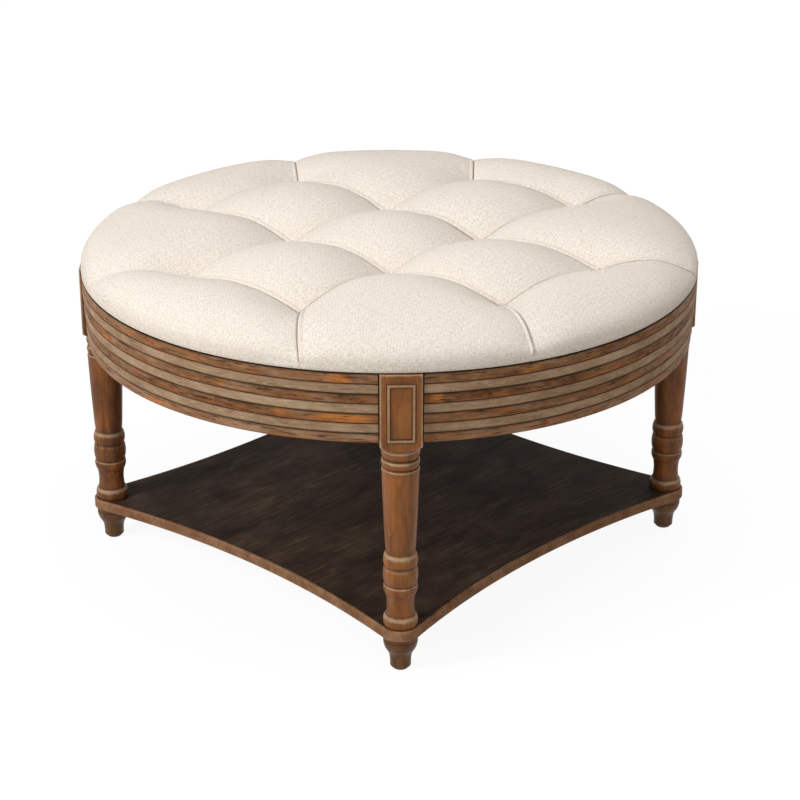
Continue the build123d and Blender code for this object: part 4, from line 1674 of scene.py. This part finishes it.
    def _underside(
        self, points: np.ndarray, faces: list, rim: list[int], places: np.ndarray
    ) -> tuple[np.ndarray, list, np.ndarray]:
        """Wrap the cover under the seat board and close the pocket that the board fills.

        Args:
            points: Points of the top.
            faces: Faces of the top.
            rim: Points along the rim, turning right.
            places: Unrolled places of the top's points.

        Returns:
            Points, faces and unrolled places of the whole cushion.
        """
        angles = np.arctan2(points[rim][:, 1], points[rim][:, 0])
        ray = np.stack([np.cos(angles), np.sin(angles)], axis=1)
        radius, level = self.profile[-1]
        edge, bottom = self.edge_round, self.bottom
        inside = bottom + self.cover_thickness
        section = [
            (radius - edge * (1 - math.cos(a)), bottom + edge * (1 - math.sin(a)))
            for a in np.radians([22, 45, 68, 90])
        ]
        section += [(r, bottom) for r in (440.0, 428.0, self.turn_under_radius)]
        section += [(r, inside) for r in (self.turn_under_radius, self.pocket_radius)]
        section += [(r, self.pocket_top) for r in (self.pocket_radius, 300.0, 120.0)]
        blocks, runs = [points], [places]
        before, total, length = rim, len(points), self.reach
        last = (radius, level)
        for r, z in section:
            length += math.dist(last, (r, z))
            last = (r, z)
            blocks.append(np.column_stack([ray * r, np.full(len(rim), z)]))
            runs.append(ray * length)
            after = range(total, total + len(rim))
            faces += ring_faces(before, after)
            before, total = after, total + len(rim)
        blocks.append(np.array([[0.0, 0.0, self.pocket_top]]))
        runs.append(np.array([[length, 0.0]]))
        faces += ring_faces(before, total)
        return np.concatenate(blocks), faces, np.concatenate(runs)


@dataclass
class DustCover:
    """Black cambric stretched under the seat board, sagging a little between its staples."""

    radius: float = 422.3
    bottom: float = 450.6
    thickness: float = 0.5
    sag: float = 1.6
    sag_radius: float = 380.0
    segments: int = 240
    screw_places: tuple = ((402.2, 50.0), (402.2, -50.0), (409.5, 0.0))
    hole_reach: float = 5.5

    def holes(self, layer: np.ndarray) -> np.ndarray:
        """Find the cells that the seat screws pass through.

        Args:
            layer: Rows by columns of points.

        Returns:
            For each cell, whether it is kept.
        """
        middle = (layer[:-1] + layer[1:]) / 2
        middle = (middle + np.roll(middle, -1, axis=1)) / 2
        keep = np.ones(middle.shape[:2], bool)
        for quarter in range(4):
            for out, side in self.screw_places:
                heading = math.radians(90 * quarter + (45 if side == 0 else 0))
                place = out * ray_at(heading) + side * ray_at(heading + math.pi / 2)
                keep &= np.linalg.norm(middle[..., :2] - place, axis=2) > self.hole_reach
        return keep

    def build(self, finish: PlainFinish) -> None:
        """Make the dust cover.

        Args:
            finish: The cambric.
        """
        inner = np.linspace(0, self.sag_radius, 20)[1:]
        radii = np.concatenate([inner, np.arange(386, 421, 3.0), [self.radius]])
        angles = np.linspace(0, 2 * math.pi, self.segments, endpoint=False)
        r, a = np.meshgrid(radii, angles, indexing="ij")
        calm = np.clip((self.sag_radius - r) / self.sag_radius, 0, 1)
        droop = (1 - (1 - calm) ** 2) * (0.85 + 0.15 * np.cos(5 * a + 1) * calm)
        layer = np.stack([r * np.cos(a), r * np.sin(a), self.bottom - self.sag * droop], axis=2)
        rows, count = layer.shape[:2]
        keep, each = self.holes(layer), rows * count
        layer = layer.reshape(-1, 3)
        lift = np.array([0, 0, self.thickness])
        centre = np.array([[0, 0, self.bottom - self.sag]])
        points = np.concatenate([layer, layer + lift, centre, centre + lift])
        faces = []
        for row in range(rows - 1):
            ring = range(row * count, (row + 1) * count)
            following = range((row + 1) * count, (row + 2) * count)
            for column, quad in enumerate(ring_faces(ring, following)):
                if keep[row, column]:
                    faces += [quad, tuple(each + i for i in quad[::-1])]
                    continue
                kept_beside = (
                    row == 0 or keep[row - 1, column],
                    keep[row, (column + 1) % count],
                    row + 2 < rows and keep[row + 1, column],
                    keep[row, column - 1],
                )
                sides = zip(kept_beside, quad, quad[1:] + quad[:1])
                faces += [(i, j, each + j, each + i) for wall, i, j in sides if wall]
        edge = range(each - count, each)
        faces += ring_faces(edge, [each + i for i in edge])
        faces += ring_faces(range(count), 2 * each, flip=True)
        faces += ring_faces(range(each, each + count), 2 * each + 1)
        mesh = make_mesh("cambric_dust_cover", points, faces)
        cambric = finish.material()
        piece = add_piece("cambric_dust_cover", mesh, cambric, "dust_cover")


# Frame inside the apron


@dataclass
class HiddenFrame:
    """CAD nodes that keep their shape and get a real finish, such as plywood or steel."""

    finishes: tuple = (
        (
            ("seat_board",),
            PlainFinish("birch_plywood", "#C9A878", "#A98552", 1.0, 0.7, layers_mm=1.5),
        ),
        (
            ("apron_core_",),
            PlainFinish("bent_plywood", "#B8946A", "#8F6C47", 1.0, 0.65, layers_mm=2.0),
        ),
        (
            ("corner_brace_", "cleat_", "apron_dowels"),
            PlainFinish("sawn_rubberwood", "#C2A27A", "#A9875F", 5.0, 0.75),
        ),
        (
            (
                "leg_studs",
                "leg_bolts",
                "bolt_washers",
                "bolt_nuts",
                "frame_screws",
                "seat_screws",
                "tuft_washers",
            ),
            PlainFinish(
                "zinc_plated_steel", "#B9BABC", "#9C9EA3", 2.0, 0.35, metallic=1.0, relief_mm=0.02
            ),
        ),
        (("tuft_twines",), PlainFinish("waxed_twine", "#D8CDB8", "#B9AB92", 0.6, 0.8)),
        (
            ("foot_glides",),
            PlainFinish("moulded_nylon", "#5B4A3C", "#4A3B30", 1.2, 0.45, relief_mm=0.02),
        ),
    )

    def dress(self, nodes: dict[str, bpy.types.Object]) -> None:
        """Give each node its finish.

        Args:
            nodes: The frame's CAD nodes by name.
        """
        for names, finish in self.finishes:
            material = finish.material()
            for name, node in nodes.items():
                if name.startswith(names):
                    node.data.materials.clear()
                    node.data.materials.append(material)
                    LOG.info("%s: %s", name, finish.name)


# Studio


@dataclass
class Studio:
    """White floor and world, soft lamps and the camera."""

    camera_place: tuple = (-0.10441, -3.14434, 1.54938)
    camera_tilt: float = 67.113
    camera_turn: float = -2.189
    camera_lens: float = 100.0
    aimed_at: tuple = (0, 0, 0.3)
    room_light: float = 0.2
    floor_half: float = 30.0
    floor_glow: float = 1.03
    lamps: tuple = (
        ("window_left", (-2.8, -1.55, 2.1), 1.5, 96.0),
        ("front_fill", (1.6, -3.3, 1.3), 2.0, 30.0),
        ("top_soft", (0.5, 0.0, 3.0), 2.4, 45.0),
    )

    def build(self) -> None:
        """Make the floor, the world, the lamps and the camera."""
        scene = bpy.context.scene
        scene.view_settings.view_transform = "Standard"
        camera = bpy.data.objects.new("camera", bpy.data.cameras.new("camera"))
        camera.location = self.camera_place
        camera.rotation_euler = (
            math.radians(self.camera_tilt),
            0,
            math.radians(self.camera_turn),
        )
        camera.data.lens = self.camera_lens
        camera.data.sensor_width = 36.0
        camera.data.clip_end = 60.0
        scene.collection.objects.link(camera)
        scene.camera = camera
        for name, place, size, power in self.lamps:
            lamp = bpy.data.lights.new(name, "AREA")
            lamp.shape = "DISK"
            lamp.size = size
            lamp.energy = power
            holder = bpy.data.objects.new(name, lamp)
            holder.location = place
            aim = Vector(self.aimed_at) - Vector(place)
            holder.rotation_euler = aim.to_track_quat("-Z", "Y").to_euler()
            scene.collection.objects.link(holder)
        self._world(scene)
        self._floor(scene)

    @staticmethod
    def _direct_look(nodes: Nodes) -> Socket:
        """Socket that is 1 for rays from the camera, a reflection or clear material."""
        path = add_node(nodes.tree, "ShaderNodeLightPath").outputs
        rays = [path[f"Is {kind} Ray"] for kind in ("Glossy", "Transmission", "Camera")]
        return nodes.sum_of("MAXIMUM", rays[2], nodes.sum_of("MAXIMUM", *rays[:2]))

    def _world(self, scene: bpy.types.Scene) -> None:
        """White to the camera and in reflections, and a soft even light to everything else.

        Args:
            scene: The scene.
        """
        scene.world = bpy.data.worlds.new("white_room")
        nodes = blank_tree(scene.world)
        lights = (("#FFF5E8", self.room_light), ("#FFFFFF", 1.0))
        room, white = (
            nodes.add("ShaderNodeBackground", {"Color": hex_colour(tone), "Strength": strength})
            for tone, strength in lights
        )
        seen = self._direct_look(nodes)
        mixed = nodes.add("ShaderNodeMixShader", {0: seen, 1: room, 2: white})
        add_node(nodes.tree, "ShaderNodeOutputWorld", {"Surface": mixed})

    def _floor(self, scene: bpy.types.Scene) -> None:
        """Pale painted floor that keeps a light shadow.

        Args:
            scene: The scene.
        """
        half = self.floor_half
        corners = [(-half, -half, 0), (half, -half, 0), (half, half, 0), (-half, half, 0)]
        mesh = bpy.data.meshes.new("pale_floor")
        mesh.from_pydata(corners, [], [(0, 1, 2, 3)])
        floor = bpy.data.objects.new("pale_floor", mesh)
        scene.collection.objects.link(floor)
        material = bpy.data.materials.new("white_floor_paint")
        nodes = blank_tree(material)
        place, seen = nodes.object_place(), self._direct_look(nodes)
        tone = nodes.blend(nodes.noise(place, 400.0, 2.0), "#B8B1A8", "#ACA59C")
        tone = nodes.blend(seen, tone, "#F8F8F8")
        paint = nodes.add("ShaderNodeBsdfDiffuse", {"Color": tone})
        white = {"Color": hex_colour("#FFFFFF"), "Strength": self.floor_glow}
        glow = nodes.add("ShaderNodeEmission", white)
        away = nodes.add("ShaderNodeVectorMath", {0: place}, "Value", operation="LENGTH")
        shine = nodes.remap(away, 0.8, 2.2, 0.9, 1.0, "SMOOTHSTEP")
        share = nodes.sum_of("MULTIPLY", seen, shine)
        mixed = nodes.add("ShaderNodeMixShader", {0: share, 1: paint, 2: glow})
        add_node(nodes.tree, "ShaderNodeOutputMaterial", {"Surface": mixed})
        mesh.materials.append(material)


def main() -> None:
    """Build the table piece by piece."""
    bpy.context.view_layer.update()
    leg_wood = WoodFinish(
        "distressed_leg_wood",
        ("#56341A", "#754724", "#8B592E", "#9E6A36"),
        ("#AE9377", "#987B5C"),
        "#1C110A",
        Grain.UPRIGHT,
        patches=(
            Patch("#A9622B", 70.0, 0.5, 0.7, 0.5),
            Patch("#5E4428", 60.0, 0.54, 0.72, 0.4),
        ),
        contrast=0.2,
        worn_share=0.85,
        streak_width_mm=4.0,
        streak_length_mm=120.0,
        streak_share=0.35,
        cloud_share=0.5,
        roughness=0.42,
        gloss=0.24,
    )
    foot_wood = WoodFinish(
        "dark_foot_wood",
        ("#4A2F18", "#634324", "#775330"),
        ("#8A6C50", "#745438"),
        "#1E130C",
        Grain.UPRIGHT,
        worn_share=0.55,
        roughness=0.4,
        gloss=0.22,
    )
    shelf_wood = WoodFinish(
        "espresso_stained_wood",
        ("#1D140F", "#2E211A", "#3D2E24", "#4E3D31"),
        ("#9C765A", "#7F5A3E"),
        "#17110D",
        Grain.DIAGONAL,
        patches=(
            Patch("#1C130E", 160.0, 0.44, 0.66, 0.6, stretch=0.1),
            Patch("#4E3C31", 120.0, 0.46, 0.7, 0.5, stretch=0.12),
            Patch("#76604C", 90.0, 0.49, 0.7, 0.65, streaky=0.6, stretch=0.12),
        ),
        contrast=0.19,
        streak_width_mm=1.5,
        streak_length_mm=80.0,
        streak_share=0.3,
        cloud_share=0.5,
        cloud_mm=110.0,
        cloud_stretch=0.16,
        worn_share=0.95,
        roughness=0.6,
        gloss=0.06,
        pore_depth_mm=0.12,
    )
    brown_wood = WoodFinish(
        "reclaimed_brown_strip",
        ("#573824", "#7B5639", "#8D6848", "#9A775B"),
        ("#BC6E34", "#9E5C2E"),
        "#150C07",
        Grain.ALONG_STRIP,
        patches=(
            Patch("#A38A74", 60.0, 0.48, 0.68, 0.6, streaky=0.15),
            Patch("#A4542C", 26.0, 0.5, 0.68, 0.7, streaky=0.3),
            Patch("#BC783E", 40.0, 0.56, 0.78, 1.0, streaky=0.35, attribute="glow"),
            Patch("#3A251A", 34.0, 0.5, 0.66, 0.75, streaky=0.5),
            Patch("#BFA58E", 24.0, 0.57, 0.67, 0.35, streaky=0.8),
            Patch("#26160E", 14.0, 0.52, 0.61, 0.85, streaky=0.6, stretch=0.5),
        ),
        contrast=0.13,
        streak_width_mm=1.6,
        streak_length_mm=40.0,
        cloud_mm=30.0,
        worn_share=0.7,
        roughness=0.55,
        gloss=0.07,
    )
    grey_wood = WoodFinish(
        "weathered_grey_strip",
        ("#7C634A", "#977C62", "#A88D72", "#B59C82"),
        ("#C0A78B", "#A68B6E"),
        "#120B07",
        Grain.ALONG_STRIP,
        patches=(
            Patch("#4A3624", 7.0, 0.58, 0.7, 0.8, streaky=0.3),
            Patch("#8C7055", 60.0, 0.48, 0.7, 0.6),
            Patch("#C9B59C", 10.0, 0.54, 0.66, 0.5, streaky=0.6),
        ),
        contrast=0.15,
        streak_width_mm=1.3,
        streak_length_mm=16.0,
        cloud_mm=60.0,
        worn_share=0.7,
        roughness=0.65,
        gloss=0.06,
    )
    Studio().build()
    TurnedLegs().build(leg_wood)
    TurnedFeet().build(foot_wood)
    Shelf().build(shelf_wood)
    Apron().build(brown_wood, grey_wood)
    TuftedCushion().build(LinenFinish())
    DustCover().build(PlainFinish("black_cambric", "#1B1B1C", "#2A2A2C", 0.8, 0.9))
    HiddenFrame().dress(FRAME["nodes"])


if __name__ == "__main__":
    logging.basicConfig(level=logging.INFO, format="%(name)s %(message)s")
    main()
